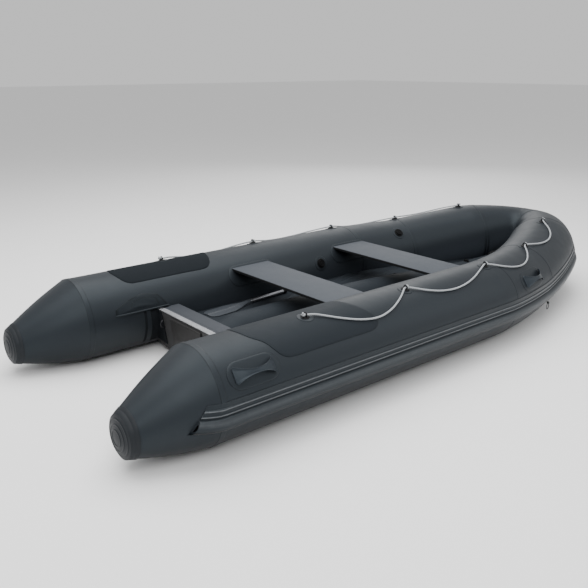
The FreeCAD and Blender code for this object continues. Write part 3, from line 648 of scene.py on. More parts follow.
class Tree(Wiring):
    """A geometry node tree whose result is made real and gets its finish."""

    def __init__(self, name: str, **inputs: str) -> None:
        """Make the tree with its input sockets, each with the kind of its value.

        Args:
            name: Name of the tree.
            **inputs: Kind of value of each input besides the geometry and the finish.
        """
        super().__init__(bpy.data.node_groups.new(name, "GeometryNodeTree"))
        face = self.tree.interface
        for key, kind in {"Geometry": "Geometry", **inputs, "Finish": "Material"}.items():
            face.new_socket(key, in_out="INPUT", socket_type="NodeSocket" + kind)
        face.new_socket("Geometry", in_out="OUTPUT", socket_type="NodeSocketGeometry")
        self.given = self.add("NodeGroupInput").outputs

    def copies(self, points: Socket, part: Socket) -> Socket:
        """A part on every point, together with what the tree was given.

        Args:
            points: The points.
            part: The part.

        Returns:
            The joined geometry.
        """
        both = self.add("GeometryNodeJoinGeometry")
        placed = self.out("GeometryNodeInstanceOnPoints", {"Points": points, "Instance": part})
        self.tree.links.new(placed, both.inputs[0])
        self.tree.links.new(self.given["Geometry"], both.inputs[0])
        return both.outputs[0]

    def end(self, geometry: Socket) -> NodeTree:
        """Make the result real, dress it and put it out.

        Args:
            geometry: The result.

        Returns:
            The tree.
        """
        real = self.out("GeometryNodeRealizeInstances", {"Geometry": geometry})
        dressed = self.out("GeometryNodeSetMaterial", {"Geometry": real, "Material": self.given["Finish"]})
        self.add("NodeGroupOutput", {"Geometry": dressed})
        return self.tree


def run_tree(obj: Object, tree: NodeTree, values: dict[str, object]) -> Object:
    """Run a geometry node tree on an object and keep its plain result.

    Args:
        obj: The object that carries the tree's input geometry.
        tree: The node tree.
        values: Input values by socket name.

    Returns:
        The object with its new mesh and no modifier.
    """
    mod = obj.modifiers.new("nodes", "NODES")
    mod.node_group = tree
    for item in tree.interface.items_tree:
        if item.item_type == "SOCKET" and item.in_out == "INPUT" and item.name in values:
            mod[item.identifier] = values[item.name]
    return Shop.settled(obj)


@dataclass(frozen=True)
class Finish:
    """A surface: its colour, gloss and how uneven both are."""

    name: str
    color: Triple
    roughness: float
    metallic: float = 0.0
    specular: float = 0.5
    mottle: float = 0.08
    mottle_scale: float = 2.5
    grain: float = 0.25
    grain_scale: float = 260.0
    grain_depth: float = 0.0004
    uneven: float = 0.06
    highlight: Triple = (1.0, 1.0, 1.0)

    def material(self) -> bpy.types.Material:
        """The Blender material, made on first use.

        Returns:
            The material.
        """
        found = bpy.data.materials.get(self.name)
        if found:
            return found
        mat = bpy.data.materials.new(self.name)
        mat.use_nodes = True
        w = Wiring(mat.node_tree)
        shader = mat.node_tree.nodes["Principled BSDF"].inputs
        shader["Metallic"].default_value = self.metallic
        shader["Specular IOR Level"].default_value = self.specular
        shader["Specular Tint"].default_value = (*self.highlight, 1.0)
        place = w.add("ShaderNodeTexCoord").outputs
        w.tree.links.new(self.tint(w, place, self.tone(w, place)), shader["Base Color"])
        w.tree.links.new(self.gloss(w, place), shader["Roughness"])
        w.tree.links.new(self.relief(w, place), shader["Normal"])
        return mat

    def tone(self, w: Wiring, place: Places) -> Socket:
        """Brightness factor around 1, varying in large soft patches."""
        cloud = w.noise(place["Object"], self.mottle_scale, 4.0, 0.55)
        return w.math("MULTIPLY_ADD", cloud, 2 * self.mottle, 1 - self.mottle)

    def tint(self, w: Wiring, place: Places, tone: Socket) -> Socket:
        """Base colour."""
        return w.scaled(self.color, tone)

    def gloss(self, w: Wiring, place: Places) -> Socket:
        """Roughness, slightly uneven."""
        cloud = w.noise(place["Object"], self.mottle_scale * 6, 3.0)
        return w.math("MULTIPLY_ADD", cloud, 2 * self.uneven, self.roughness - self.uneven)

    def relief(self, w: Wiring, place: Places) -> Socket:
        """Fine grain of the surface."""
        return w.bump(self.grain, self.grain_depth, w.noise(place["Object"], self.grain_scale, 3.0))


@dataclass(frozen=True)
class CoatedFabric(Finish):
    """Coated cloth: faint weave, soft puckers, and glue lines, painted shade and painted light from an attribute."""

    threads: float = 900.0
    weave: float = 0.12
    pucker: float = 0.25
    # How far the attribute darkens the cloth for glue lines and painted shade, or lightens it for painted light.
    glue: float = 0.75

    def tint(self, w: Wiring, place: Places, tone: Socket) -> Socket:
        """Base colour: darker for glue lines and painted shade, lighter for painted light, by the attribute."""
        line = w.add("ShaderNodeAttribute", attribute_name="glue_line").outputs["Fac"]
        return w.scaled(self.color, w.math("MULTIPLY", tone, w.math("MULTIPLY_ADD", line, -self.glue, 1.0)))

    def relief(self, w: Wiring, place: Places) -> Socket:
        """Weave along the piece's own UV map over soft puckers.

        Args:
            w: The shader tree.
            place: Texture coordinates.

        Returns:
            The normal.
        """
        soft = w.bump(self.pucker, 0.004, w.noise(place["Object"], 9.0, 2.0))
        uv = w.add("ShaderNodeSeparateXYZ", {0: place["UV"]}).outputs
        warp, weft = (w.math("SINE", w.math("MULTIPLY", uv[axis], self.threads * TURN)) for axis in "XY")
        return w.bump(self.weave, 0.0001, w.math("MULTIPLY", warp, weft), soft)


@dataclass(frozen=True)
class StrakeRubber(Finish):
    """Extruded rubber, rubbed light on its ridge crowns, with a painted highlight and painted shade on the fender."""

    # Colour mixed in for wear on the ridge crowns and for the fender's painted highlight, taken out for its painted
    # shade.
    wear_and_painted_light_color: Triple = (0.112, 0.119, 0.126)

    def tint(self, w: Wiring, place: Places, tone: Socket) -> Socket:
        """Base colour: lighter for ridge wear and the fender's painted highlight, darker for its painted shade.

        Args:
            w: The shader tree.
            place: Texture coordinates.
            tone: Brightness factor.

        Returns:
            The colour.
        """
        crown = w.add("ShaderNodeAttribute", attribute_name="crown").outputs["Fac"]
        patches = w.noise(place["Object"], 60.0, 4.0)
        share = w.math("MULTIPLY", crown, w.math("MULTIPLY_ADD", patches, 0.7, 0.45))
        rest = w.scaled(w.scaled(self.color, tone), w.math("SUBTRACT", 1.0, share))
        return w.out("ShaderNodeVectorMath", {0: rest, 1: w.scaled(self.wear_and_painted_light_color, share)}, operation="ADD")


@dataclass(frozen=True)
class Board(Finish):
    """Coated plywood: fine streaks along the board under the coat."""

    streak: float = 0.10
    across: Triple = (60.0, 4.0, 60.0)

    def tone(self, w: Wiring, place: Places) -> Socket:
        """Brightness with streaks and large patches.

        Args:
            w: The shader tree.
            place: Texture coordinates.

        Returns:
            The brightness factor.
        """
        stretched = w.out("ShaderNodeMapping", {"Vector": place["Object"], "Scale": self.across})
        grain = w.math("MULTIPLY_ADD", w.noise(stretched, 4.0, 6.0, 0.7), 2 * self.streak, 1 - self.streak)
        return w.math("MULTIPLY", super().tone(w, place), grain)


@dataclass(frozen=True)
class PlyEdge(Finish):
    """Cut edge of a plywood board, with its layers."""

    layer: float = 0.003
    contrast: float = 0.22

    def tone(self, w: Wiring, place: Places) -> Socket:
        """Light and dark layers by height.

        Args:
            w: The shader tree.
            place: Texture coordinates.

        Returns:
            The brightness factor.
        """
        height = w.add("ShaderNodeSeparateXYZ", {0: place["Object"]}).outputs["Z"]
        wave = w.math("SINE", w.math("MULTIPLY", height, TURN / 2 / self.layer))
        return w.math("MULTIPLY", super().tone(w, place), w.math("MULTIPLY_ADD", wave, self.contrast, 1.0))


@dataclass(frozen=True)
class TwistedLine(Finish):
    """Synthetic line: fibres along its strands."""

    fibre: float = 0.35

    def relief(self, w: Wiring, place: Places) -> Socket:
        """Fibres."""
        return w.bump(self.fibre, 0.0003, w.noise(place["Object"], 700.0, 2.0))


COOL = (0.80, 0.93, 1.0)
HULL = CoatedFabric("hull_cloth", (0.0130, 0.0154, 0.0187), 0.44, specular=0.22, mottle=0.05, highlight=COOL)
FLOOR = CoatedFabric("floor_cloth_coat", (0.0165, 0.0195, 0.0235), 0.58, specular=0.09, pucker=0.35, highlight=COOL)
PATCH = CoatedFabric("glued_patch", (0.0123, 0.0148, 0.0180), 0.46, specular=0.22, mottle=0.05, highlight=COOL)
GRIP = CoatedFabric("wear_cloth", (0.0110, 0.0130, 0.0153), 0.80, specular=0.04, threads=500.0, mottle=0.12,
                    highlight=COOL)
# Starboard copy of the wear cloth, lighter and glossier as painted light.
GRIP_PAINTED_LIGHTER = CoatedFabric("wear_cloth_rubbed", (0.0118, 0.0142, 0.0174), 0.60, specular=0.13, threads=500.0,
                           highlight=COOL)
KNEE = CoatedFabric("knee_cloth", (0.0092, 0.0112, 0.0138), 0.50, specular=0.20, pucker=0.5, mottle=0.10,
                    highlight=COOL)
# Cloth of the transom flanges and the bands beside them, darkened as painted shade beneath the knees.
FLANGE_PAINTED_SHADE = CoatedFabric("flange_cloth", (0.0070, 0.0083, 0.0100), 0.70, specular=0.08, pucker=0.4, mottle=0.10)
STRAKE = StrakeRubber("strake_extrusion", (0.0132, 0.0155, 0.0184), 0.38, specular=0.21, mottle=0.05, highlight=COOL)
CAP = Finish("cap_rubber", (0.0118, 0.0140, 0.0168), 0.50, specular=0.16, mottle=0.05)
RUBBER = Finish("moulded_rubber", (0.0165, 0.0205, 0.0255), 0.42, specular=0.22, mottle=0.05, highlight=COOL)
# Lining of the fender's open end, near-black as painted shade inside the hollow.
HOLLOW_PAINTED_SHADE = Finish("hollow_inside", (0.003, 0.003, 0.0035), 0.9, specular=0.05, mottle=0.02)
BENCH = Board("bench_coat", (0.042, 0.048, 0.057), 0.62, specular=0.2, grain=0.4, grain_scale=900.0)
SHELF = Board("shelf_coat", (0.034, 0.038, 0.045), 0.62, specular=0.2, grain=0.4, grain_scale=900.0)
PLY = PlyEdge("ply_edge_coat", (0.0115, 0.0120, 0.0125), 0.7, specular=0.1)
TRANSOM = Board("transom_paint", (0.034, 0.034, 0.035), 0.60, specular=0.2, across=(60.0, 3.0, 60.0), streak=0.14)
STRIP = Finish("ribbed_metal", (0.55, 0.56, 0.58), 0.42, metallic=0.9, mottle=0.04)
PAD = Finish("clamp_pad_plastic", (0.020, 0.0195, 0.0195), 0.58, specular=0.2, grain=0.5)
VALVE = Finish("valve_plastic", (0.0030, 0.0032, 0.0036), 0.50, specular=0.10, mottle=0.05)
BLACK = Finish("black_moulding", (0.004, 0.004, 0.0046), 0.50, specular=0.15, mottle=0.05)
DARK_STEEL = Finish("dull_steel", (0.05, 0.05, 0.055), 0.38, metallic=1.0, mottle=0.02, grain=0.05)
ROPE = TwistedLine("lifeline_rope", (0.31, 0.325, 0.34), 0.8, specular=0.2, mottle=0.06, mottle_scale=20.0)
BLADE = Finish("blade_plastic", (0.030, 0.035, 0.042), 0.50, specular=0.3, mottle=0.05)
SHAFT = Finish("shaft_metal", (0.20, 0.205, 0.22), 0.35, metallic=0.9, mottle=0.04)
GROUND = Finish("pale_floor", (0.84, 0.84, 0.84), 0.9, specular=0.1, mottle=0.01, grain=0.02)


@dataclass(frozen=True)
class Tape:
    """A band of cloth glued round the tube over a seam."""

    start: float
    width: float = 0.030
    height: float = 0.0014

    def lift(self, run: float, edge: float = 0.0015) -> float:
        """Height of the tape above the cloth beside it."""
        return self.height * smooth((run - self.start) / edge) * smooth((self.start + self.width - run) / edge)

    @property
    def edges(self) -> tuple[float, float]:
        """Both edges."""
        return self.start, self.start + self.width


@dataclass
class HullTubes:
    """The inflated skin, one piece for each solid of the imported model."""

    sides: int = 112
    step: float = 0.035
    tapes: tuple[Tape, ...] = (Tape(0.000), Tape(2.232), Tape(2.772), Tape(3.500), Tape(3.935, 0.040))
    fold_reach: float = 0.55
    fold_width: float = 0.20
    glue_width: float = 0.0022
    # Painted shade low on the outboard side and low inboard on the cones, painted light low inboard towards the bow.
    outboard_painted_shade: float = 0.55
    inboard_painted_shade: float = 0.4
    inboard_painted_light: tuple[Triple, ...] = ((1.9, 0.35, 0.35), (2.0, 2.0, 1.2))

    @property
    def angles(self) -> list[float]:
        """Angle of each point round the tube, from its lowest one."""
        return [360.0 * k / self.sides - 90.0 for k in range(self.sides)]

    def section(self, run: float, side: Side) -> list[Vector]:
        """Points round the tube at a run, evened out at the fold inside the nose.

        Args:
            run: Distance along the axis.
            side: Side of the boat.

        Returns:
            The points.
        """
        lift = sum(t.lift(FORM.folded(run)) for t in self.tapes)
        near = smooth(1 - abs(run - FORM.length) / self.fold_reach)
        points = []
        for angle in self.angles:
            reach = self.fold_width * near * max(0.0, -math.cos(math.radians(angle)))
            if reach < 0.001:
                points.append(FORM.skin(run, angle, lift, side))
            else:
                around = [FORM.skin(run + reach * i / 4, angle, lift, side) for i in range(-4, 5)]
                points.append(sum(around, Vector()) / len(around))
        return points

    def shades(self, runs: Sequence[float]) -> list[float]:
        """Glue lines at the tapes; painted shade low outboard and low inboard aft; painted light low inboard forward.

        Args:
            runs: Run of each ring of points.

        Returns:
            A number for each point, above 0 for darker cloth and below 0 for lighter cloth.
        """
        edges = [e for t in self.tapes for e in t.edges]
        bearings = [math.radians(a) for a in self.angles]
        outer = [self.outboard_painted_shade * smooth((-math.sin(a) - 0.15) / 0.7) * smooth((math.cos(a) + 0.5) / 0.5)
                 for a in bearings]
        inner = [smooth((0.35 - math.sin(a)) / 0.9) * smooth((-math.cos(a) - 0.05) / 0.5) for a in bearings]
        values = []
        for run in map(FORM.folded, runs):
            glue = 1.0 - min(abs(run - e) for e in edges) / self.glue_width
            shade = self.inboard_painted_shade
            for drop, start, reach in self.inboard_painted_light:
                shade -= drop * smooth((run - start) / reach)
            values += [max(glue, o + shade * i) for o, i in zip(outer, inner)]
        return values

    def piece(self, name: str, start: float, end: float, side: Side, nodes: Sequence[str]) -> None:
        """Make one length of tube.

        Args:
            name: Piece name.
            start: Run of its first ring; below 0 that ring is closed with a face.
            end: Run of its last ring.
            side: Side of the boat.
            nodes: Nodes that it replaces.
        """
        marks = [e for t in self.tapes for e in t.edges]
        marks += [2 * FORM.length - e for e in marks]
        runs = spread(start, end, self.step, marks)
        obj = Shop.loft(name, [self.section(r, side) for r in runs], runs, 2 * math.pi * FORM.radius / self.sides,
                        caps=(start < 0, False), facing=lambda p: self.away(p, start, end, side))
        # The cloth's colour carries the glue lines, painted shade and painted light.
        Shop.mark(obj, "glue_line", self.shades(runs))
        Shop.finish(obj, HULL, "hull_fabric", nodes)

    @staticmethod
    def away(p: Vector, start: float, end: float, side: Side) -> Vector:
        """Rough outward direction at a point, from the nearest of a few stations.

        Args:
            p: The point.
            start: Run of the first station.
            end: Run of the last station.
            side: Side of the boat.

        Returns:
            The direction, not of unit length.
        """
        near = min((FORM.station(start + (end - start) * k / 12, side) for k in range(13)),
                   key=lambda s: (s.centre - p).length)
        return (p - near.centre) - near.ahead * (p - near.centre).dot(near.ahead)

    def build(self) -> None:
        """Make the skin of both sides and the nose."""
        for side in Side:
            s = side.label
            self.piece("stern_cone_skin_" + s, -FORM.cone_length, 0.0, side, ["stern_cone_" + s])
            self.piece("side_tube_skin_" + s, 0.0, FORM.bow_start, side, ["side_tube_" + s])
            self.piece("bow_quarter_skin_" + s, FORM.bow_start, FORM.quarter_end, side, ["bow_quarter_" + s])
        self.piece("bow_nose_skin", FORM.quarter_end, 2 * FORM.length - FORM.quarter_end, Side.STARBOARD, ["bow_nose"])


@dataclass
class ConeCaps:
    """Moulded end caps of the stern cones."""

    collar: float = 0.038
    collar_t: float = 0.0033
    dome: float = 0.020
    ring_radii: tuple[float, ...] = (0.086, 0.062, 0.038)
    ring_height: float = 0.0023
    ring_half: float = 0.0045
    sides: int = 96
    dome_rings: int = 84
    pole: float = 0.0004

    def dome_height(self, r: float) -> float:
        """Height of the domed end over its rim.

        Args:
            r: Distance from the cap's axis.

        Returns:
            The height, with the raised rings.
        """
        rim = FORM.cone_tip + self.collar_t
        big = (rim * rim + self.dome * self.dome) / (2 * self.dome)
        h = math.sqrt(big * big - r * r) - big + self.dome
        for c in self.ring_radii:
            h += self.ring_height * math.sqrt(max(0.0, 1 - ((r - c) / self.ring_half) ** 2))
        return h

    def build(self) -> None:
        """Make both caps: a collar with a groove, then the dome with its rings."""
        rim = FORM.cone_tip + self.collar_t
        collar = ((self.collar, 0.0), (self.collar, 0.0028), (self.collar - 0.001, 0.0033), (0.022, 0.0033),
                  (0.0205, 0.0024), (0.019, 0.0033), (0.001, 0.0033), (0.0, 0.0028))
        for side in Side:
            tip = FORM.station(-FORM.cone_length, side)
            rings = [[FORM.skin(x - FORM.cone_length, 360.0 * k / self.sides, h, side) for k in range(self.sides)]
                     for x, h in collar]
            for i in range(self.dome_rings):
                r = max(rim * (1 - i / (self.dome_rings - 1)), self.pole)
                rings.append(circle(tip.centre + Vector((-self.dome_height(r), 0, 0)), tip.out, tip.up, r, self.sides))
            obj = Shop.loft("cone_cap_moulding_" + side.label, rings, 0.001, 0.0065, caps=(False, True))
            Shop.finish(obj, CAP, "grey_rubber", ["cone_cap_" + side.label])


@dataclass
class RubStrake:
    """Extruded strake round the hull: flat band, two ridges, a round hollow fender."""

    top: float = 12.0
    base: float = 0.004
    groove: float = 0.0012
    gap: float = 0.0003
    width: float = 0.138
    ridges: tuple[Triple, ...] = ((0.022, 0.014, 0.009), (0.046, 0.014, 0.009))
    ridge_points: int = 9
    fender: Triple = (0.064, 0.068, 0.030)
    fender_points: int = 21
    # Painted highlight on the fender's upper shoulder and painted shade on its lower half.
    fender_painted_highlight: float = 0.40
    fender_painted_shade: float = 0.24
    aft_top: float = -0.060
    aft_low: float = -0.152
    aft_lift: float = 0.020
    step: float = 0.030
    hollow_share: float = 0.55
    hollow_depth: float = 0.045

    def profile(self) -> list[Triple]:
        """Section of the strake.

        Returns:
            Distance from the upper edge, height and colour mark: ridge wear, painted highlight, below 0 painted shade.
        """
        rows = [(0.0, self.gap, 0.0), (0.0, self.base * 0.8, 0.0), (0.0008, self.base, 0.0)]
        for shape in (*self.ridges, self.fender):
            start, width, height = shape
            n = self.fender_points if shape == self.fender else self.ridge_points
            sag = height - self.base
            big = (width * width / 4 + sag * sag) / (2 * sag)
            for i in range(n):
                d = width * i / (n - 1) - width / 2
                if shape == self.fender:
                    h = self.base + math.sqrt(max(big * big - d * d, 0.0)) - (big - sag)
                    # Painted highlight on the fender's upper shoulder, painted shade on its lower half.
                    crown = self.fender_painted_highlight * max(0.0, 1 - abs(d / width + 0.26) / 0.22)
                    crown -= self.fender_painted_shade * smooth((d / width - 0.05) / 0.25)
                else:
                    h = self.base - self.groove + (sag + self.groove) * (1 - abs(2 * d / width) ** 1.7)
                    crown = float(abs(d) < 0.14 * width)
                rows.append((start + width / 2 + d, h, crown))
        rows += [(self.width - 0.0008, self.base, 0.0), (self.width, self.base * 0.8, 0.0), (self.width, self.gap, 0.0)]
        return rows + [(self.width * (1 - k / 6), self.gap, 0.0) for k in range(1, 6)]

    def top_angle(self, run: float) -> float:
        """Angle of the upper edge: level along the side, lifted over the cone.

        Args:
            run: Distance along the axis.

        Returns:
            The angle in degrees.
        """
        if run >= 0:
            return self.top
        s = FORM.station(run)
        level = FORM.radius + FORM.radius * math.sin(math.radians(self.top) - self.width / 2 / FORM.radius)
        level += self.aft_lift * (run / self.aft_low) ** 2 + FORM.ground
        return math.degrees(math.asin((level - s.centre.z) / s.radius) + self.width / 2 / s.radius)

    def point(self, run: float, d: float, h: float, side: Side) -> Vector:
        """Point of the strake at a distance from its upper edge and a height over the skin."""
        s = FORM.station(run, side)
        return FORM.skin(run, self.top_angle(run) - math.degrees(d / s.radius), h, side)

    def build(self) -> None:
        """Make the strake of both sides, with the open end of the hollow fender."""
        profile = self.profile()
        n = len(profile)
        shares = [0.0, 0.0006, 0.002, 0.006, 0.012, 0.02, 0.03]
        count = int((FORM.length - self.aft_low) / self.step)
        shares += [0.03 + 0.97 * i / count for i in range(1, count + 1)]
        starts = [self.aft_top + (self.aft_low - self.aft_top) * d / self.width for d, _, _ in profile]
        last = len(shares) - 1
        faces = [(i * n + j, i * n + (j + 1) % n, (i + 1) * n + (j + 1) % n, (i + 1) * n + j)
                 for i in range(last) for j in range(n)]
        faces.append([last * n + j for j in range(n)])
        for side in Side:
            points = [self.point(a + (FORM.length - a) * t, d, h, side)
                      for t in shares for a, (d, h, _) in zip(starts, profile)]
            obj = self.with_hollow(points, faces, profile, side)
            first = len(points)
            # Marks for ridge wear and the fender's painted highlight and painted shade.
            crowns = [c for _ in shares for _, _, c in profile]
            Shop.mark(obj, "crown", crowns + [0.0] * (len(obj.data.vertices) - first))
            Shop.finish(obj, STRAKE, "strake_rubber", ["rub_strake_" + side.label, "rub_strake_bow_" + side.label])
            # The lining gets the near-black painted shade of the hollow.
            obj.data.materials.append(HOLLOW_PAINTED_SHADE.material())
            for poly in obj.data.polygons:
                poly.material_index = int(min(poly.vertices) >= first)

    def with_hollow(self, points: list[Vector], faces: list, profile: list[Triple], side: Side) -> Object:
        """Close the aft end with a face that has the fender's opening in it, and line the opening.

        Args:
            points: Points of the strake, the aft section first.
            faces: Its faces.
            profile: Its section.
            side: Side of the boat.

        Returns:
            The object, whose points after the given ones are those of the lining.
        """
        n = len(profile)
        start, width, _ = self.fender
        inner = [j for j, (d, h, _) in enumerate(profile)
                 if start - 1e-6 <= d <= start + width + 1e-6 and h > self.gap * 1.5]
        centre = sum((points[j] for j in inner), Vector()) / len(inner)
        rim = [centre + (points[j] - centre) * self.hollow_share for j in inner]
        first, k = len(points), len(rim)
        points = points + rim + [p + AHEAD * self.hollow_depth for p in rim]
        lining = [(first + j, first + (j + 1) % k, first + k + (j + 1) % k, first + k + j) for j in range(k)]
        lining.append([first + k + j for j in range(k)])
        obj = Shop.mesh("rub_strake_extrusion_" + side.label, points, faces + lining, facing=lambda p: Vector())
        with Shop.editing(obj) as bm:
            bm.verts.ensure_lookup_table()
            edges = []
            for loop in ([*range(n)], [first + j for j in range(k)]):
                for a, b in zip(loop, loop[1:] + loop[:1]):
                    pair = bm.verts[a], bm.verts[b]
                    edges.append(bm.edges.get(pair) or bm.edges.new(pair))
            bmesh.ops.triangle_fill(bm, use_beauty=True, use_dissolve=False, edges=edges)
        Shop.shaded(obj, 40)
        return obj


@dataclass
class SkinPatches:
    """Thin cloth patches glued on the tubes under the fittings."""

    thickness: float = 0.002
    gap: float = 0.0003
    holders: tuple[Point, ...] = ((0.650, 80.0), (1.391, 78.0), (2.145, 79.5), (2.775, 82.0), (3.375, 88.0))
    holder_radius: float = 0.044
    handles: tuple[Point, ...] = ((0.205, 34.0), (2.463, 30.5))
    handle_size: Point = (0.292, 0.136)
    valves: tuple[Point, ...] = ((1.790, 160.0), (2.660, 131.0))
    valve_radius: float = 0.054
    seats: tuple[Point, ...] = ((1.192, 150.0), (2.106, 150.0))
    seat_size: Point = (0.392, 0.150)
    wear_middle: Point = (0.655, 81.0)
    wear_outline: tuple[Point, ...] = (
        (0.450, 35.0), (0.395, 38.0), (0.365, 45.0), (0.330, 60.0), (0.281, 73.0), (0.259, 88.0), (0.258, 102.0),
        (0.285, 119.0), (0.325, 126.0), (0.370, 127.0), (0.530, 127.0), (0.690, 127.0), (0.850, 127.0),
        (0.905, 120.0), (0.938, 105.0), (0.964, 85.0), (0.996, 70.0), (1.033, 55.0), (1.040, 45.0), (1.015, 38.0),
        (0.960, 35.0), (0.800, 35.0), (0.620, 35.0))

    def blob(self, name: str, run: float, angle: float, outline: Sequence[Point], side: Side,
             extra: float = 0.0, rows: int = 8) -> Object:
        """A patch whose outline is star-shaped about its middle.

        Args:
            name: Piece name.
            run: Run of its middle.
            angle: Angle of its middle.
            outline: Offsets along the tube and round the skin, in metres.
            side: Side of the boat.
            extra: Height added under the patch.
            rows: Rings between the middle and the rim.

        Returns:
            The object.
        """
        radius = FORM.station(run, side).radius
        shares = [(max(i / rows, 0.002), 1.0) for i in range(rows)]
        rim = 1 - 0.0012 / max(0.02, min(math.hypot(*p) for p in outline))
        shares += [(rim, 1.0), (1.0, 0.55), (1.0, 0.0)]
        rings = []
        for f, t in shares:
            rings.append([FORM.skin(run + u * f, angle + math.degrees(v * f / radius),
                                    self.gap + extra + self.thickness * t, side) for u, v in outline])
        n = len(outline)
        obj = Shop.loft(name, rings, 0.01, 0.01, caps=(True, False), facing=lambda p: FORM.normal(run, angle, side))
        layer = obj.data.uv_layers[0].data
        for poly in obj.data.polygons:
            for loop in poly.loop_indices:
                i = obj.data.loops[loop].vertex_index
                f, _ = shares[i // n]
                layer[loop].uv = (run + outline[i % n][0] * f, outline[i % n][1] * f)
        glue = [0.0 if t == 1.0 and f < 0.999 else 1.0 for f, t in shares for _ in outline]
        Shop.mark(obj, "glue_line", glue)
        return obj

    @staticmethod
    def round_outline(radius: float, n: int = 40) -> list[Point]:
        """A circle."""
        return [(radius * c, radius * s) for c, s in turns(n)]

    @staticmethod
    def long_outline(length: float, width: float, n: int = 14) -> list[Point]:
        """A shape with straight sides and round ends.

        Args:
            length: Overall length.
            width: Overall width.
            n: Steps round each end.

        Returns:
            Its points.
        """
        r, a = width / 2, (length - width) / 2
        rows = [(a + r * math.cos(t), r * math.sin(t)) for t in (math.pi * (k / n - 0.5) for k in range(n + 1))]
        rows += [(a * (1 - 2 * k / 6), r) for k in range(1, 6)]
        rows += [(-a - r * math.cos(t), r * math.sin(t)) for t in (math.pi * (0.5 - k / n) for k in range(n + 1))]
        return rows + [(-a * (1 - 2 * k / 6), -r) for k in range(1, 6)]

    def group(self, name: str, spots: Sequence[Point], outline: Sequence[Point], side: Side, finish: Finish,
              extra_first: float = 0.0) -> None:
        """Join like patches of one side and dress them.

        Args:
            name: Name of the node, without its side.
            spots: Run and angle of each patch.
            outline: Outline of each.
            side: Side of the boat.
            finish: Their finish.
            extra_first: Height added under the first one.
        """
        parts = [self.blob("patch", run, angle, outline, side, extra_first if i == 0 else 0.0)
                 for i, (run, angle) in enumerate(spots)]
        Shop.finish(Shop.joined(name + "_cloth_" + side.label, parts), finish, "grey_patch", [name + "_" + side.label])

    @staticmethod
    def through(points: Sequence[Point], per: int = 4) -> list[Point]:
        """Closed smooth line through points.

        Args:
            points: The points.
            per: Points of the line for each of them.

        Returns:
            The line's points.
        """
        n = len(points)
        rows = []
        for i in range(n):
            p0, p1, p2, p3 = (points[(i + k) % n] for k in (-1, 0, 1, 2))
            for k in range(per):
                t = k / per
                rows.append(tuple(0.5 * (2 * b + (c - a) * t + (2 * a - 5 * b + 4 * c - d) * t * t
                                         + (3 * b - a - 3 * c + d) * t ** 3) for a, b, c, d in zip(p0, p1, p2, p3)))
        return rows

    def wear(self, side: Side) -> None:
        """Dark patch where a rider sits.

        Args:
            side: Side of the boat.
        """
        run, angle = self.wear_middle
        outline = [(r - run, math.radians(a - angle) * FORM.radius) for r, a in self.through(self.wear_outline)]
        obj = self.blob("wear_patch_cloth_" + side.label, run, angle, outline, side, rows=16)
        # Port patch gets the plain cloth, starboard the copy lightened as painted light.
        finish = GRIP if side is Side.PORT else GRIP_PAINTED_LIGHTER
        Shop.finish(obj, finish, "patch_fabric", ["wear_patch_" + side.label])

    def build(self) -> None:
        """Make every patch."""
        for side in Side:
            self.wear(side)
            self.group("lifeline_patches", self.holders, self.round_outline(self.holder_radius), side, PATCH, 0.0016)
            self.group("handle_patches", self.handles, self.long_outline(*self.handle_size), side, PATCH)
            self.group("valve_patches", self.valves, self.round_outline(self.valve_radius), side, PATCH)
            self.group("seat_patches", self.seats, self.long_outline(*self.seat_size), side, PATCH)


class PartsOnSkin:
    """Copies of a moulding placed on the skin by Geometry Nodes."""

    @staticmethod
    @cache
    def tree() -> NodeTree:
        """Node tree that puts an object on every point, turned by the points' attributes.

        Returns:
            The tree.
        """
        w = Tree("parts_on_skin", Moulding="Object")
        moulding = w.add("GeometryNodeObjectInfo", {"Object": w.given["Moulding"]}, transform_space="ORIGINAL")
        normal, ahead = (w.add("GeometryNodeInputNamedAttribute", {"Name": name}, data_type="FLOAT_VECTOR")
                         .outputs["Attribute"] for name in ("outward", "ahead"))
        turn = w.out("FunctionNodeAxesToRotation", {0: normal, 1: ahead}, primary_axis="Z", secondary_axis="X")
        return w.end(w.out("GeometryNodeInstanceOnPoints", {
            "Points": w.given["Geometry"], "Instance": moulding.outputs["Geometry"], "Rotation": turn}))

    @staticmethod
    def spots(places: Sequence[Point], side: Side) -> list[Spot]:
        """Spots on the skin from runs and angles."""
        return [(FORM.skin(r, a, 0.0, side), FORM.normal(r, a, side), FORM.station(r, side).ahead) for r, a in places]

    @staticmethod
    def make(name: str, moulding: Object, spots: Sequence[Spot], finish: Finish) -> Object:
        """Place copies.

        Args:
            name: Piece name.
            moulding: The object to copy, drawn at the origin with Z outwards and X ahead; it is removed.
            spots: Point, outward direction and ahead direction of each copy.
            finish: Its finish.

        Returns:
            One plain mesh object with all copies.
        """
        data = bpy.data.meshes.new(name)
        data.from_pydata([tuple(p) for p, _, _ in spots], [], [])
        for key, column in (("outward", 1), ("ahead", 2)):
            layer = data.attributes.new(key, "FLOAT_VECTOR", "POINT")
            layer.data.foreach_set("vector", [c for spot in spots for c in spot[column]])
        obj = run_tree(Shop.link(name, data), PartsOnSkin.tree(), {"Moulding": moulding, "Finish": finish.material()})
        bpy.data.objects.remove(moulding)
        return obj


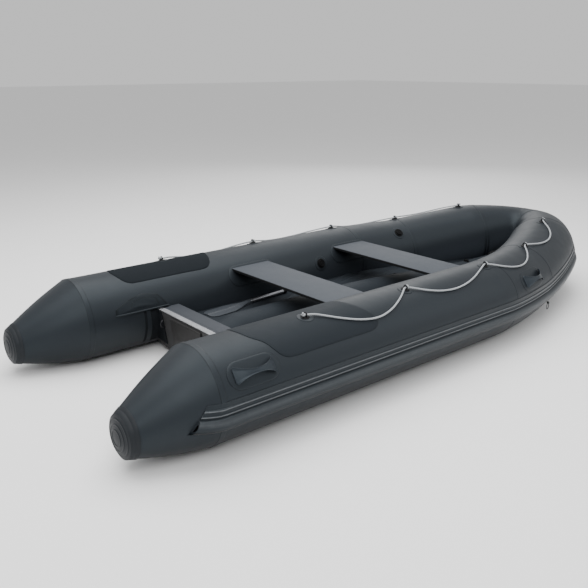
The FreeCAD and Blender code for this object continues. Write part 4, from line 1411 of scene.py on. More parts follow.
@dataclass
class Lifelines:
    """Twisted rope through its holders, with a stopper knot at each end."""

    diameter: float = 0.010
    length: float = 2.949
    lay: float = 0.034
    knot_offset: float = 0.0142
    knot_raise: float = 0.005
    lift: float = 0.015
    loop_radius: float = 0.012
    loop_wire: float = 0.0035
    base_height: float = 0.0028
    strand_share: float = 0.55
    strand_step: float = 0.0028
    groove: float = 0.26
    holders: tuple[Point, ...] = SkinPatches.holders
    route: tuple[Triple, ...] = (
        (0.644, 80.0, 0.015), (0.690, 78.6, 0.015), (0.745, 70.5, 0.012), (0.830, 59.5, 0.0105),
        (0.935, 50.5, 0.0105), (1.050, 46.5, 0.0105), (1.165, 51.5, 0.0105), (1.265, 61.5, 0.0105),
        (1.340, 71.5, 0.012), (1.391, 79.5, 0.015), (1.440, 72.6, 0.0125), (1.508, 63.5, 0.0105),
        (1.602, 56.0, 0.0105), (1.715, 53.0, 0.0105), (1.835, 55.5, 0.0105), (1.945, 62.0, 0.0105),
        (2.040, 70.5, 0.011), (2.100, 76.0, 0.013), (2.145, 80.5, 0.015), (2.192, 74.3, 0.0125),
        (2.256, 64.5, 0.0105), (2.342, 56.5, 0.0105), (2.445, 53.5, 0.0105), (2.550, 58.0, 0.0105),
        (2.645, 67.5, 0.0105), (2.718, 75.8, 0.012), (2.775, 83.0, 0.015), (2.828, 76.8, 0.0125),
        (2.898, 68.5, 0.0105), (2.988, 63.0, 0.0105), (3.083, 61.8, 0.0105), (3.175, 65.5, 0.0105),
        (3.258, 73.5, 0.011), (3.322, 83.0, 0.0135), (3.381, 88.3, 0.015))

    def centreline(self, side: Side) -> list[Vector]:
        """Points along the rope, read from a NURBS spline through the route.

        Args:
            side: Side of the boat.

        Returns:
            The points.
        """
        curve = bpy.data.curves.new("route", "CURVE")
        curve.dimensions = "3D"
        spline = curve.splines.new("NURBS")
        spline.points.add(len(self.route) - 1)
        for p, (run, angle, lift) in zip(spline.points, self.route):
            p.co = (*FORM.skin(run, angle, lift, side), 1.0)
        spline.order_u = 3
        spline.use_endpoint_u = True
        spline.resolution_u = 8
        obj = Shop.link("route", curve)
        points = [v.co.copy() for v in Shop.evaluated(obj).vertices]
        bpy.data.objects.remove(obj)
        return points

    @staticmethod
    @cache
    def strand_tree() -> NodeTree:
        """Node tree that lays three twisted strands along a line of points.

        Returns:
            The tree.
        """
        w = Tree("twisted_strands", Radius="Float", Lay="Float", Step="Float", Groove="Float")
        line = w.out("GeometryNodeMeshToCurve", {"Mesh": w.given["Geometry"]})
        even = w.out("GeometryNodeResampleCurve", {"Curve": line, "Length": w.given["Step"]}, mode="LENGTH")
        run = w.add("GeometryNodeSplineParameter").outputs["Length"]
        turn = w.math("MULTIPLY", w.math("DIVIDE", run, w.given["Lay"]), 2 * math.pi)
        tilted = w.out("GeometryNodeSetCurveTilt", {"Curve": even, "Tilt": turn})
        ring = w.out("GeometryNodeCurvePrimitiveCircle", {"Resolution": 24, "Radius": 1.0}, mode="RADIUS")
        spot = w.out("GeometryNodeInputPosition")
        axes = w.add("ShaderNodeSeparateXYZ", {0: spot}).outputs
        bearing = w.math("ARCTAN2", axes["Y"], axes["X"])
        lobe = w.math("ABSOLUTE", w.math("COSINE", w.math("MULTIPLY", bearing, 1.5)))
        size = w.math("MULTIPLY_ADD", lobe, w.given["Groove"], w.math("SUBTRACT", 1.0, w.given["Groove"]))
        grown = w.scaled(spot, w.math("MULTIPLY", size, w.given["Radius"]))
        section = w.out("GeometryNodeSetPosition", {"Geometry": ring, "Position": grown})
        swept = w.out("GeometryNodeCurveToMesh", {"Curve": tilted, "Profile Curve": section, "Fill Caps": True})
        return w.end(w.out("GeometryNodeSetShadeSmooth", {"Geometry": swept}))

    def strands(self, name: str, path: Sequence[Vector]) -> Object:
        """Twisted rope along points.

        Args:
            name: Piece name.
            path: Points of its axis.

        Returns:
            The rope.
        """
        data = bpy.data.meshes.new(name)
        data.from_pydata([tuple(p) for p in path], [(i, i + 1) for i in range(len(path) - 1)], [])
        return run_tree(Shop.link(name, data), self.strand_tree(), {
            "Radius": self.strand_share * self.diameter, "Lay": self.lay, "Step": self.strand_step,
            "Groove": self.groove, "Finish": ROPE.material()})

    @staticmethod
    def knot(centre: Vector, ahead: Vector, normal: Vector, size: float = 0.0028) -> Object:
        """Stopper knot: a small trefoil of rope.

        Args:
            centre: Its middle.
            ahead: Direction of the rope that ends in it.
            normal: Outward direction of the skin.
            size: Scale of the trefoil.

        Returns:
            The knot.
        """
        across = normal.cross(ahead)
        path = []
        for i in range(90):
            t = 2 * math.pi * i / 90
            x, y, z = math.sin(t) + 2 * math.sin(2 * t), math.cos(t) - 2 * math.cos(2 * t), -math.sin(3 * t)
            path.append(centre + (normal * x + across * y + ahead * z * 1.5) * size)
        return Shop.tube("knot", path, 0.0040, 10, closed=True)

    def hitch(self) -> Object:
        """Two turns of rope round the loop, drawn at the origin.

        Returns:
            The hitch.
        """
        path = []
        for i in range(61):
            t = 4 * math.pi * i / 60
            path.append(Vector((0.004 * (i / 30 - 1) + 0.011, 0.0092 * math.cos(t),
                                self.lift + 0.0005 + 0.0088 * math.sin(t))))
        return Shop.tube("hitch", path, 0.0042, 10)

    def moulding(self) -> Object:
        """Holder drawn at the origin: ringed base and upright loop.

        Returns:
            The holder.
        """
        profile = [(0.0, -0.0012), (0.024, -0.0012), (0.024, 0.0020), (0.0232, 0.0030), (0.0205, 0.0034),
                   (0.0200, 0.0026), (0.0185, 0.0026), (0.0180, 0.0036), (0.0120, 0.0052), (0.0085, 0.0066),
                   (0.0, 0.0070)]
        base = Shop.lathe("base", profile, UP * self.base_height, UP, 40)
        ring = circle(UP * self.lift, Vector((0, 1, 0)), UP, self.loop_radius, 40)
        return Shop.joined("holder", [base, Shop.tube("loop", ring, self.loop_wire, 12, closed=True)])

    def build(self) -> None:
        """Make the ropes, knots and holders."""
        for side in Side:
            s = side.label
            path = self.centreline(side)
            rope = self.strands("lifeline_rope_" + s, path)
            Shop.finish(rope, ROPE, "rope", ["lifeline_" + s])
            knots = []
            for (run, angle), way in ((self.holders[0], -1), (self.holders[-1], 1)):
                ahead = FORM.station(run, side).ahead
                c = FORM.skin(run, angle, self.lift + self.knot_raise, side) + ahead * (way * self.knot_offset)
                knots.append(self.knot(c, ahead, FORM.normal(run, angle, side)))
            knot = Shop.joined("lifeline_stopper_knots_" + s, knots)
            Shop.finish(knot, ROPE, "rope", ["lifeline_knots_" + s])
            spots = PartsOnSkin.spots(self.holders, side)
            hitches = PartsOnSkin.make("lifeline_hitches_" + s, self.hitch(), spots[1:-1], ROPE)
            Shop.finish(hitches, ROPE, "rope")
            holders = PartsOnSkin.make("lifeline_holder_mouldings_" + s, self.moulding(), spots, BLACK)
            Shop.finish(holders, BLACK, "black_plastic", ["lifeline_holders_" + s])


@dataclass
class CarryHandles:
    """Moulded grips: wide feet and a narrow raised middle."""

    spots: tuple[tuple[str, float, float], ...] = (("stern_handle", 0.205, 34.0), ("bow_handle", 2.463, 30.5))
    length: float = 0.226
    end_width: float = 0.092
    mid_width: float = 0.025
    rise: float = 0.036
    lean: float = 0.006
    thickness: float = 0.007
    low: float = 0.0026
    lip: float = 0.0085
    waist: float = 2.3
    rounding: float = 0.07
    points: int = 20
    steps: int = 28

    def ring(self, run: float, angle: float, side: Side, u: float) -> list[Vector]:
        """Section of the grip.

        Args:
            run: Run of the grip's middle.
            angle: Angle of the grip's middle.
            side: Side of the boat.
            u: Share of the half length, -1 at the aft end and 1 at the fore end.

        Returns:
            Points round the section.
        """
        lift = self.rise * (1 - abs(u) ** self.waist)
        angle -= math.degrees(self.lean * (1 - u * u) / FORM.radius)
        width = self.mid_width + (self.end_width - self.mid_width) * abs(u) ** self.waist
        past = abs(u) - (1 - self.rounding)
        if past > 0:
            width *= math.sqrt(max(0.0, 1 - (past / self.rounding) ** 2 * 0.55))
        thick = self.thickness * (0.75 + 0.5 * (1 - abs(u)) ** 2)
        radius = FORM.station(run, side).radius
        ring = []
        for c, s in turns(self.points):
            v = math.copysign(abs(c) ** 0.55, c) * width / 2
            h = self.low + lift + thick / 2 + math.copysign(abs(s) ** 0.8, s) * thick / 2
            h += self.lip * smooth((abs(c) - 0.55) / 0.45) * (0.4 + 0.6 * abs(u)) * min(1.0, 8 * (1 - abs(u)))
            ring.append(FORM.skin(run + u * self.length / 2, angle + math.degrees(v / (radius + h)), h, side))
        return ring

    def build(self) -> None:
        """Make the four handles."""
        shares = [math.sin(math.pi / 2 * (i / self.steps - 1)) for i in range(2 * self.steps + 1)]
        along = [u * self.length / 2 for u in shares]
        for side in Side:
            for node, run, angle in self.spots:
                rings = [self.ring(run, angle, side, u) for u in shares]
                obj = Shop.loft(node + "_grip_" + side.label, rings, along, 0.01, caps=(True, True))
                Shop.finish(obj, RUBBER, "grey_rubber", [node + "_" + side.label])


@dataclass
class Valves:
    """Inflation valves: flanged ring, dished cap with grips."""

    radius: float = 0.034
    height: float = 0.011
    base: float = 0.0026
    grips: int = 18
    keel_radius: float = 0.022
    keel_height: float = 0.012
    keel_places: tuple[Point, ...] = ((2.200, 48.0), (2.935, 0.0))

    @staticmethod
    @cache
    def cap_tree() -> NodeTree:
        """Node tree that sets small grips in a ring.

        Returns:
            The tree.
        """
        w = Tree("cap_grips", Count="Int", Radius="Float", Height="Float")
        ring = w.out("GeometryNodeMeshCircle", {"Vertices": w.given["Count"], "Radius": w.given["Radius"]})
        raised = w.out("ShaderNodeCombineXYZ", {"Z": w.given["Height"]})
        moved = w.out("GeometryNodeTransform", {"Geometry": ring, "Translation": raised})
        grip = w.add("GeometryNodeMeshCylinder", {"Vertices": 8, "Radius": 0.0016, "Depth": 0.006})
        return w.end(w.copies(moved, grip.outputs["Mesh"]))

    def moulding(self, r: float, h: float) -> Object:
        """A valve drawn at the origin.

        Args:
            r: Radius of its flange.
            h: Height of its cap.

        Returns:
            The valve.
        """
        profile = [(0.0, -0.002), (r, -0.002), (r, 0.0030), (r - 0.001, 0.0040), (r * 0.80, 0.0045), (r * 0.78, 0.0030),
                   (r * 0.74, 0.0030), (r * 0.72, h - 0.001), (r * 0.70, h), (r * 0.58, h), (r * 0.54, h - 0.0025),
                   (r * 0.20, h - 0.0030), (r * 0.16, h - 0.0005), (0.0, h)]
        turned = Shop.lathe("valve", profile, UP * self.base, UP, 40)
        long, half = r * 0.56, r * 0.09
        low, high = self.base + h - 0.0035, self.base + h - 0.0004
        bars = [Shop.block("bar", Vector((-a, -b, low)), Vector((a, b, high))) for a, b in ((long, half), (half, long))]
        obj = Shop.joined("valve", [turned, *bars])
        Shop.shaded(obj, 40)
        return run_tree(obj, self.cap_tree(), {"Count": self.grips, "Radius": r * 0.72,
                                               "Height": self.base + h - 0.004, "Finish": VALVE.material()})

    def build(self) -> None:
        """Make the valves of the tubes and of the keel."""
        for side in Side:
            obj = PartsOnSkin.make("air_valve_mouldings_" + side.label, self.moulding(self.radius, self.height),
                                   PartsOnSkin.spots(SkinPatches.valves, side), VALVE)
            Shop.finish(obj, VALVE, "black_plastic", ["air_valves_" + side.label])
        spots = []
        for x, lean in self.keel_places:
            r, z = Floor.keel(x)
            n = Vector((0, math.sin(math.radians(lean)), math.cos(math.radians(lean))))
            spots.append((FORM.place(x, 0, z) + n * r, n, AHEAD))
        obj = PartsOnSkin.make("keel_valve_mouldings", self.moulding(self.keel_radius, self.keel_height), spots, VALVE)
        Shop.finish(obj, VALVE, "black_plastic", ["keel_valves"])


@dataclass
class Floor:
    """Cloth floor drawn over the keel tube, with slack folds beside it."""

    level: float = 0.206
    step: float = 0.012
    start: float = 0.490
    end: float = 3.700
    folds: int = 26
    diagonals: tuple[tuple[float, ...], ...] = (
        (1.40, 0.15, 2.05, 0.33, 0.016, 0.012), (1.42, 0.19, 2.0, 0.40, 0.013, 0.010),
        (1.50, 0.17, 2.10, 0.26, 0.012, 0.009), (1.38, 0.28, 1.75, 0.42, 0.014, 0.010),
        (1.36, 0.22, 1.55, 0.40, 0.011, 0.008))
    columns: int = 96
    keel_radius: float = 0.125
    keel_taper: float = 0.038
    keel_top: float = 0.302
    keel_fall: float = 0.066
    keel_tuck: float = 0.030
    keel_gap: float = 0.0025
    blend: float = 0.014
    cut_width: float = 0.95

    @classmethod
    def keel(cls, x: float) -> Point:
        """Radius and centre height of the keel tube.

        Args:
            x: Distance from the cone seam.

        Returns:
            Radius and height.
        """
        u = smooth((x - 1.600) / 1.480)
        tuck = cls.keel_tuck * (1 - smooth((x - 0.593) / 0.140))
        r = cls.keel_radius - cls.keel_taper * u
        return r, cls.keel_top - tuck - cls.keel_fall * u - r

    def cloth_level(self, x: float) -> float:
        """Height of the cloth beside the keel."""
        return self.level - 0.034 * smooth((x - 2.143) / 0.9) + 0.070 * smooth((x - 3.350) / 0.4)

    def half_width(self, x: float, z: float) -> float:
        """Where the cloth meets the tube.

        Args:
            x: Distance from the cone seam.
            z: Height of the cloth.

        Returns:
            Distance from the centre plane.
        """
        if x <= FORM.bow_start:
            return FORM.half_spread - math.sqrt(FORM.radius ** 2 - (FORM.radius - z) ** 2)
        best = 0.0
        for k in range(61):
            run = FORM.bow_start + (FORM.length - FORM.bow_start) * k / 60
            s = FORM.station(run)
            dz = z + FORM.ground - s.centre.z
            if abs(dz) >= s.radius:
                continue
            inner = s.centre - s.out * math.sqrt(s.radius ** 2 - dz * dz)
            if inner.x + FORM.mid_x >= x:
                prev = FORM.station(run - (FORM.length - FORM.bow_start) / 60)
                pz = z + FORM.ground - prev.centre.z
                before = prev.centre - prev.out * math.sqrt(max(prev.radius ** 2 - pz * pz, 0.0))
                span = max(inner.x - before.x, 1e-6)
                t = min(max((x - FORM.mid_x - before.x) / span, 0.0), 1.0)
                return -(before.y + (inner.y - before.y) * t)
            best = -inner.y
        return max(0.0, min(best, 0.02))

    def fold_lines(self) -> list[tuple[float, ...]]:
        """Folds of the cloth: scattered ones, then the long ones beside the aft bench.

        Returns:
            Start, end, width and height of each.
        """
        rng = random.Random(7)
        lines = []
        for i in range(self.folds):
            side = 1 if i % 2 else -1
            x = rng.uniform(0.65, 3.0)
            y = rng.uniform(0.15, 0.38)
            length = rng.uniform(0.15, 0.5)
            slant = rng.uniform(-0.16, 0.30)
            lines.append((x, side * y, x + length, side * (y + slant * length), rng.uniform(0.008, 0.018),
                          rng.uniform(0.003, 0.009) * rng.choice((1, 1, -0.7))))
        return lines + list(self.diagonals)

    def height(self, x: float, y: float, lines: Sequence[tuple[float, ...]]) -> float:
        """Height of the cloth at a place.

        Args:
            x: Distance from the cone seam.
            y: Distance from the centre plane.
            lines: The folds.

        Returns:
            The height.
        """
        level = self.cloth_level(x)
        r, zc = self.keel(x)
        reach = r + self.keel_gap
        over = zc + math.sqrt(max(reach * reach - y * y, 0.0)) if abs(y) < reach else zc - 0.2
        top = max(level, over)
        gap = abs(level - over)
        if gap < self.blend:
            top += (self.blend - gap) ** 2 / (4 * self.blend)
        fold = 0.0
        for x1, y1, x2, y2, wide, tall in lines:
            dx, dy = x2 - x1, y2 - y1
            t = ((x - x1) * dx + (y - y1) * dy) / (dx * dx + dy * dy)
            off = math.hypot(x - x1 - dx * t, y - y1 - dy * t)
            if -0.3 < t < 1.3 and off < 4 * wide:
                fold += tall * math.exp(-(off / wide) ** 2) * smooth((t + 0.3) / 0.4) * smooth((1.3 - t) / 0.4)
        return top + max(fold, -0.004) * smooth((abs(y) - r) / 0.03)

    def build(self) -> None:
        """Make the floor sheet."""
        lines = self.fold_lines()
        xs = spread(self.start, self.end, self.step)
        rings = []
        for x in xs:
            half = max(self.half_width(x, self.cloth_level(x)), 0.004)
            across = [half * (2 * k / self.columns - 1) for k in range(self.columns + 1)]
            rings.append([FORM.place(x, y, self.height(x, y, lines)) for y in across])
        obj = Shop.loft("floor_sheet", rings, xs, 0.009, closed=False, facing=lambda p: UP)
        Shop.finish(obj, FLOOR, "floor_fabric", ["floor_cloth", "keel_tube"])


class Bottom:
    """Cloth bottom of the hull."""

    def build(self) -> None:
        """Dress the bottom, smooth between its edges."""
        obj = Shop.refined("hull_bottom", 0.0)
        obj.data.set_sharp_from_angle(angle=math.radians(50))
        Shop.mark(obj, "glue_line")
        Shop.finish(obj, HULL, "hull_fabric", ["hull_bottom"])


@dataclass
class TransomParts:
    """Board, ribbed metal strip, inner shelf, clamp pad, flanges and eyes."""

    x: float = 0.443
    top: float = 0.291
    strip_width: float = 0.053
    strip_t: float = 0.005
    metal_share: float = 0.68
    ribs: int = 9
    rib_height: float = 0.0012

    @staticmethod
    def rib_tree() -> NodeTree:
        """Node tree that repeats a long rib across the strip.

        Returns:
            The tree.
        """
        w = Tree("strip_ribs", Count="Int", Pitch="Float", Length="Float", Height="Float", Place="Vector")
        pitch = w.out("ShaderNodeCombineXYZ", {"X": w.given["Pitch"]})
        line = w.out("GeometryNodeMeshLine", {"Count": w.given["Count"], "Start Location": w.given["Place"],
                                              "Offset": pitch})
        size = w.out("ShaderNodeCombineXYZ", {"X": w.math("MULTIPLY", w.given["Pitch"], 0.5),
                                              "Y": w.given["Length"], "Z": w.given["Height"]})
        rib = w.add("GeometryNodeMeshCube", {"Size": size})
        return w.end(w.copies(line, rib.outputs["Mesh"]))

    def strip(self) -> None:
        """Ribbed strip on the top edge: metal outside, board inside."""
        z = self.top - self.rib_height
        half = FORM.half_spread - math.sqrt(FORM.radius ** 2 - (FORM.radius - z) ** 2) - 0.001
        low = FORM.place(self.x, -half, self.top - self.strip_t)
        high = FORM.place(self.x + self.strip_width, half, z)
        metal = self.metal_share * self.strip_width
        base = Shop.joined("transom_strip_extrusion", [
            Shop.block("metal", low, Vector((low.x + metal, high.y, high.z))),
            Shop.block("rest", Vector((low.x + metal, low.y, low.z)), Vector((high.x, high.y, high.z)))])
        pitch = metal / self.ribs
        place = FORM.place(self.x + pitch / 2, 0, z + self.rib_height / 2 - 0.0002)
        run_tree(base, self.rib_tree(), {"Count": self.ribs, "Pitch": pitch, "Length": 2 * half,
                                         "Height": self.rib_height, "Place": place, "Finish": STRIP.material()})
        Shop.finish(base, STRIP, "metal_strip", ["transom_strip"])
        base.data.materials.append(SHELF.material())
        for poly in base.data.polygons:
            poly.material_index = int(poly.center.x > low.x + metal + WELD)

    def build(self) -> None:
        """Make every transom piece."""
        self.strip()
        for node, bevel, finish, slot in (("transom_board", 0.002, TRANSOM, "transom_wood"),
                                          ("transom_shelf", 0.003, SHELF, "seat_board"),
                                          ("clamp_pad", 0.003, PAD, "clamp_plastic"),
                                          # Flanges darkened as painted shade.
                                          ("transom_flanges", 0.0015, FLANGE_PAINTED_SHADE, "hull_fabric"),
                                          ("transom_eyes", 0.0, DARK_STEEL, "steel")):
            Shop.finish(Shop.refined(node, bevel), finish, slot, [node])


@dataclass
class Knees:
    """Cloth knees on the tubes over the transom's ends: a flap, a second layer on it and a thick hem."""

    outline: tuple[Point, ...] = ((0.167, 168.5), (0.172, 159.8), (0.252, 151.0), (0.357, 145.0), (0.457, 150.0),
                                  (0.480, 156.0), (0.516, 168.5))
    second: tuple[Point, ...] = ((0.262, 164.0), (0.285, 154.5), (0.357, 150.0), (0.442, 153.5), (0.458, 164.0))
    middle: Point = (0.342, 158.5)
    thickness: float = 0.0030
    bands: tuple[tuple[Point, ...], ...] = (((0.348, 170.5), (0.363, 170.5), (0.377, 226.0), (0.362, 226.0)),
                                            ((0.390, 170.5), (0.4355, 170.5), (0.466, 226.0), (0.412, 226.0)))
    band_height: float = 0.0016
    corner: Point = (0.462, 169.0)
    crease: float = 0.0022
    hem_width: float = 0.011
    hem_height: float = 0.0155
    gap: float = 0.0003

    def creased(self, run: float, angle: float, share: float) -> float:
        """Height of the creases that fan out from the transom's corner.

        Args:
            run: Distance along the axis.
            angle: Degrees round from the outboard side.
            share: Distance from the flap's middle, 1 on its rim.

        Returns:
            The height.
        """
        x, y = self.corner[0] - run, (self.corner[1] - angle) * math.radians(1.0) * FORM.radius
        away = math.hypot(x, y)
        fan = 0.5 + 0.5 * math.cos(math.atan2(y, x) * 13.0 + 25.0 * away)
        return self.crease * fan ** 3 * (1 - share ** 2) * min(1.0, away / 0.05)

    def layer(self, corners: Sequence[Point], low: float, high: float, side: Side, flat: bool = False) -> Object:
        """One layer of cloth on the skin.

        Args:
            corners: Run and angle of its corners.
            low: Height of its underside.
            high: Height of its top.
            side: Side of the boat.
            flat: Whether it has four corners and no creases and is drawn from its own middle.

        Returns:
            The object.
        """
        middle = (sum(r for r, _ in corners) / 4, sum(a for _, a in corners) / 4) if flat else self.middle
        rim = []
        for (r0, a0), (r1, a1) in zip(corners, corners[1:] + corners[:1]):
            rim += [(r0 + (r1 - r0) * k / 10, a0 + (a1 - a0) * k / 10) for k in range(10)]
        steps = 8
        rows = [(max(k / steps, 0.002), high) for k in range(steps)] + [(0.985, high), (1.0, high - 0.0008), (1.0, low)]
        rings = []
        for f, h in rows:
            spots = [(middle[0] + (r - middle[0]) * f, middle[1] + (a - middle[1]) * f) for r, a in rim]
            rings.append([FORM.skin(r, a, h + (0.0 if flat else self.creased(r, a, f)), side) for r, a in spots])
        obj = Shop.loft("layer", rings, 0.01, 0.004, caps=(True, False), facing=lambda p: FORM.normal(*middle, side))
        # Rim rows darkened: a glue line, deepened into a painted shadow line along the layer's edge.
        Shop.mark(obj, "glue_line", [float(i >= steps) for i in range(len(rings)) for _ in rim])
        return obj

    def hem(self, side: Side, steps: int = 24, points: int = 14) -> Object:
        """Thick hem along the lower edge, rounded, standing off the skin.

        Args:
            side: Side of the boat.
            steps: Lengths that it is drawn in.
            points: Points round it.

        Returns:
            The hem.
        """
        first, last = self.outline[0], self.outline[-1]
        rings = []
        for i in range(steps + 1):
            run = first[0] + (last[0] - first[0]) * i / steps
            tall = self.hem_height * min(1.0, 0.25 + i / 5)
            rings.append([FORM.skin(run, first[1] + math.degrees(c * self.hem_width / 2 / FORM.radius),
                                    self.gap + tall * (0.5 + 0.5 * s), side) for c, s in turns(points)])
        obj = Shop.loft("hem", rings, 0.0145, 0.002, caps=(True, True))
        Shop.mark(obj, "glue_line")
        return obj

    def build(self) -> None:
        """Make both sides' knees as one piece, and the glued bands aft of the board, dark with painted shade, as
        another.
        """
        parts = []
        for side in Side:
            parts += [self.layer(self.outline, self.gap, self.thickness, side),
                      self.layer(self.second, self.thickness - 0.0005, self.thickness + 0.0012, side), self.hem(side)]
        obj = Shop.joined("transom_knee_cloth", parts)
        Shop.shaded(obj, 45)
        Shop.finish(obj, KNEE, "hull_fabric", ["transom_knees"])
        # Bands of cloth aft of the board, dark as painted shade beneath the knee.
        glued = Shop.joined("transom_bands_on_tubes", [self.layer(band, self.gap, self.band_height, side, flat=True)
                                                       for side in Side for band in self.bands])
        Shop.finish(glued, FLANGE_PAINTED_SHADE, "hull_fabric")


@dataclass
class Benches:
    """Two seat boards with the mouldings that hold their ends."""

    edge: float = 0.003

    def build(self) -> None:
        """Make the boards and brackets."""
        for node in ("seat_aft", "seat_forward"):
            obj = Shop.refined(node, self.edge, 3)
            Shop.finish(obj, BENCH, "seat_board", [node])
            obj.data.materials.append(PLY.material())
            for poly in obj.data.polygons:
                poly.material_index = int(abs(poly.normal.z) <= 0.6)
        Shop.finish(Shop.refined("seat_brackets", 0.003), BLACK, "black_plastic", ["seat_brackets"])


@dataclass
class TowRings:
    """Steel rings in their webbing tabs under the bow."""

    pivot: Triple = (1.127500, 0.747937, 0.098845)
    along: Point = (0.966013, 0.258493)
    radius: float = 0.024
    wire: float = 0.0025

    def build(self) -> None:
        """Make both rings and dress both tabs."""
        for side in Side:
            s = side.label
            p = Vector((self.pivot[0], side.value * self.pivot[1], self.pivot[2] - self.radius))
            a = Vector((self.along[0], -side.value * self.along[1], 0)).normalized()
            ring = Shop.tube("tow_ring_steel_" + s, circle(p, a, UP, self.radius, 64), self.wire, 16, closed=True)
            Shop.finish(ring, DARK_STEEL, "steel", ["tow_ring_" + s], body="tow_ring_" + s)
            Shop.finish(Shop.refined("tow_ring_strap_" + s, 0.0006), BLACK, "black_plastic", ["tow_ring_strap_" + s])


@dataclass
class Paddles:
    """Two paddles stowed on the floor, blades aft."""

    places: tuple[Triple, ...] = ((0.730, 0.318, 4.0), (0.560, -0.250, 3.0))
    blade: float = 0.360
    blade_width: float = 0.130
    shaft: float = 0.290
    shaft_radius: float = 0.014
    socket: Point = (0.017, 0.026)
    floor: float = 0.2063
    steps: int = 32
    columns: int = 24

    def matrix(self, place: Triple) -> Matrix:
        """Transform from the paddle's own frame, its tip at the origin, to the boat's.

        Args:
            place: Position of the tip from the cone seam, and its heading in degrees.

        Returns:
            The transform.
        """
        x, y, yaw = place
        tilt = (self.socket[0] - self.shaft_radius) / (self.blade + self.shaft)
        spot = FORM.place(x, y, self.floor + self.shaft_radius)
        return Matrix.Translation(spot) @ Matrix.Rotation(math.radians(yaw), 4, "Z") @ Matrix.Rotation(-tilt, 4, "Y")

    def blade_rings(self) -> list[list[Vector]]:
        """Sections of the blade with its raised middle rib and thick rim.

        Returns:
            Points of each section.
        """
        rings = []
        for i in range(self.steps + 1):
            u = i / self.steps
            w = self.blade_width / 2 * (0.72 + 0.28 * smooth(u / 0.12)) * (1 - 0.80 * smooth((u - 0.45) / 0.55))
            if u < 0.04:
                w *= math.sqrt(max(0.05, 1 - (1 - u / 0.04) ** 2 * 0.4))
            h = 0.007 + 0.017 * smooth((u - 0.4) / 0.6)
            row = []
            for k in range(self.columns + 1):
                v = 2 * k / self.columns - 1
                rib = 0.004 * max(0.0, 1 - abs(v) / 0.16) + 0.0015 * smooth((abs(v) - 0.88) / 0.08)
                row.append(Vector((u * self.blade, v * w, -self.shaft_radius + h * (0.55 + 0.45 * (1 - v * v)) + rib)))
            row += [Vector((u * self.blade, w * (1 - 2 * k / self.columns), -self.shaft_radius))
                    for k in range(self.columns + 1)]
            rings.append(row)
        return rings

    def build(self) -> None:
        """Make blades, shafts and end sockets."""
        blades, shafts, ends = [], [], []
        r, long = self.shaft_radius, self.shaft - 0.001
        shaft_profile = [(0.0, -0.01), (r, -0.01), (r, long), (0.0, long)]
        er, el = self.socket
        end_profile = [(0.0, 0.0), (er - 0.001, 0.0), (er, 0.001), (er, el - 0.003), (er - 0.003, el),
                       (er - 0.006, el - 0.001), (0.0, el - 0.001)]
        for place in self.places:
            blade = Shop.loft("blade", self.blade_rings(), 0.01, 0.01, caps=(True, True))
            tube = Shop.lathe("shaft", shaft_profile, AHEAD * self.blade, AHEAD, 32)
            end = Shop.lathe("end", end_profile, AHEAD * (self.blade + self.shaft), AHEAD, 32)
            for obj, pile in ((blade, blades), (tube, shafts), (end, ends)):
                obj.data.transform(self.matrix(place))
                Shop.shaded(obj, 40)
                pile.append(obj)
        Shop.finish(Shop.joined("paddle_blade_mouldings", blades), BLADE, "paddle_plastic", ["paddle_blades"])
        Shop.finish(Shop.joined("paddle_shaft_tubes", shafts), SHAFT, "paddle_metal", ["paddle_shafts"])
        Shop.finish(Shop.joined("paddle_end_sockets", ends), BLACK, "paddle_plastic", ["paddle_ends"])


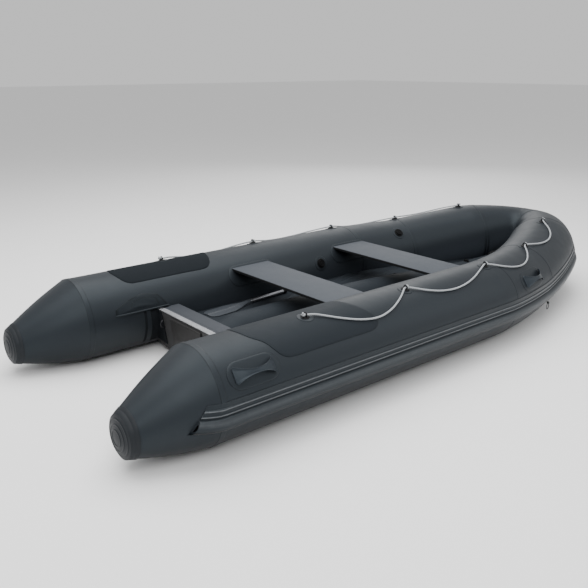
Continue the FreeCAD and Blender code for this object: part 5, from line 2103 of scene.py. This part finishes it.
@dataclass
class Studio:
    """Pale floor, soft light and the camera at the photograph's angle."""

    position: Triple = (-3.318256, -3.24958, 1.70307)
    forward: Triple = (0.61067912, 0.72994939, -0.30699334)
    right: Triple = (0.76682089, -0.64186065, -0.00079575)
    focal: float = 708.4025
    frame: float = 588.0
    half_ground: float = 60.0
    sky: float = 0.74
    lights: tuple[tuple[str, Triple, Triple, float, float], ...] = (
        ("overhead", (-0.5, 0.5, 5.0), (0.0, 0.0, 0.3), 6.0, 490.0),
        ("stern_left", (-5.0, 1.5, 3.2), (0.0, 0.0, 0.3), 3.0, 20.0),
        ("beyond_bow", (5.0, 4.5, 3.6), (0.3, 0.0, 0.3), 4.0, 90.0),
        ("starboard_bow", (3.0, -3.8, 3.0), (0.5, 0.3, 0.2), 3.0, 42.0),
        ("over_camera", (-3.8, -4.2, 5.0), (0.2, 0.2, 0.4), 4.0, 230.0))

    def camera(self) -> None:
        """Create the camera."""
        data = bpy.data.cameras.new("view")
        data.sensor_width = 36.0
        data.lens = self.focal / self.frame * data.sensor_width
        data.clip_start, data.clip_end = 0.05, 100.0
        cam = Shop.link("view", data)
        f = Vector(self.forward).normalized()
        r = Vector(self.right).normalized()
        rot = Matrix((r, r.cross(f), -f)).transposed()
        cam.matrix_world = Matrix.Translation(Vector(self.position)) @ rot.to_4x4()
        bpy.context.scene.camera = cam

    @staticmethod
    def area(name: str, spot: Triple, aim: Triple, size: float, power: float) -> None:
        """Soft square light.

        Args:
            name: Its name.
            spot: Where it hangs.
            aim: Where it points.
            size: Length of its sides.
            power: Watts.
        """
        data = bpy.data.lights.new(name, "AREA")
        data.shape, data.size, data.energy = "SQUARE", size, power
        lamp = Shop.link(name, data)
        lamp.location = spot
        lamp.rotation_mode = "QUATERNION"
        lamp.rotation_quaternion = (Vector(aim) - Vector(spot)).to_track_quat("-Z", "Y")

    def build(self) -> None:
        """Make floor, lights and camera."""
        half = self.half_ground
        corners = [Vector((x * half, y * half, -0.001)) for x, y in ((-1, -1), (1, -1), (1, 1), (-1, 1))]
        floor = Shop.mesh("studio_floor", corners, [(0, 1, 2, 3)], facing=lambda p: UP)
        floor.data.materials.append(GROUND.material())
        world = bpy.data.worlds.new("studio")
        world.use_nodes = True
        sky = world.node_tree.nodes["Background"].inputs
        sky["Color"].default_value = (1.0, 1.0, 1.0, 1.0)
        sky["Strength"].default_value = self.sky
        bpy.context.scene.world = world
        for light in self.lights:
            self.area(*light)
        self.camera()


def main() -> None:
    """Build the boat's pieces in order."""
    Studio().build()
    for maker in (Lifelines(), HullTubes(), ConeCaps(), RubStrake(), SkinPatches(), CarryHandles(), Valves(), Floor(),
                  Bottom(), TransomParts(), Knees(), Benches(), TowRings(), Paddles()):
        LOG.info("building %s", type(maker).__name__)
        maker.build()


if __name__ == "__main__":
    main()
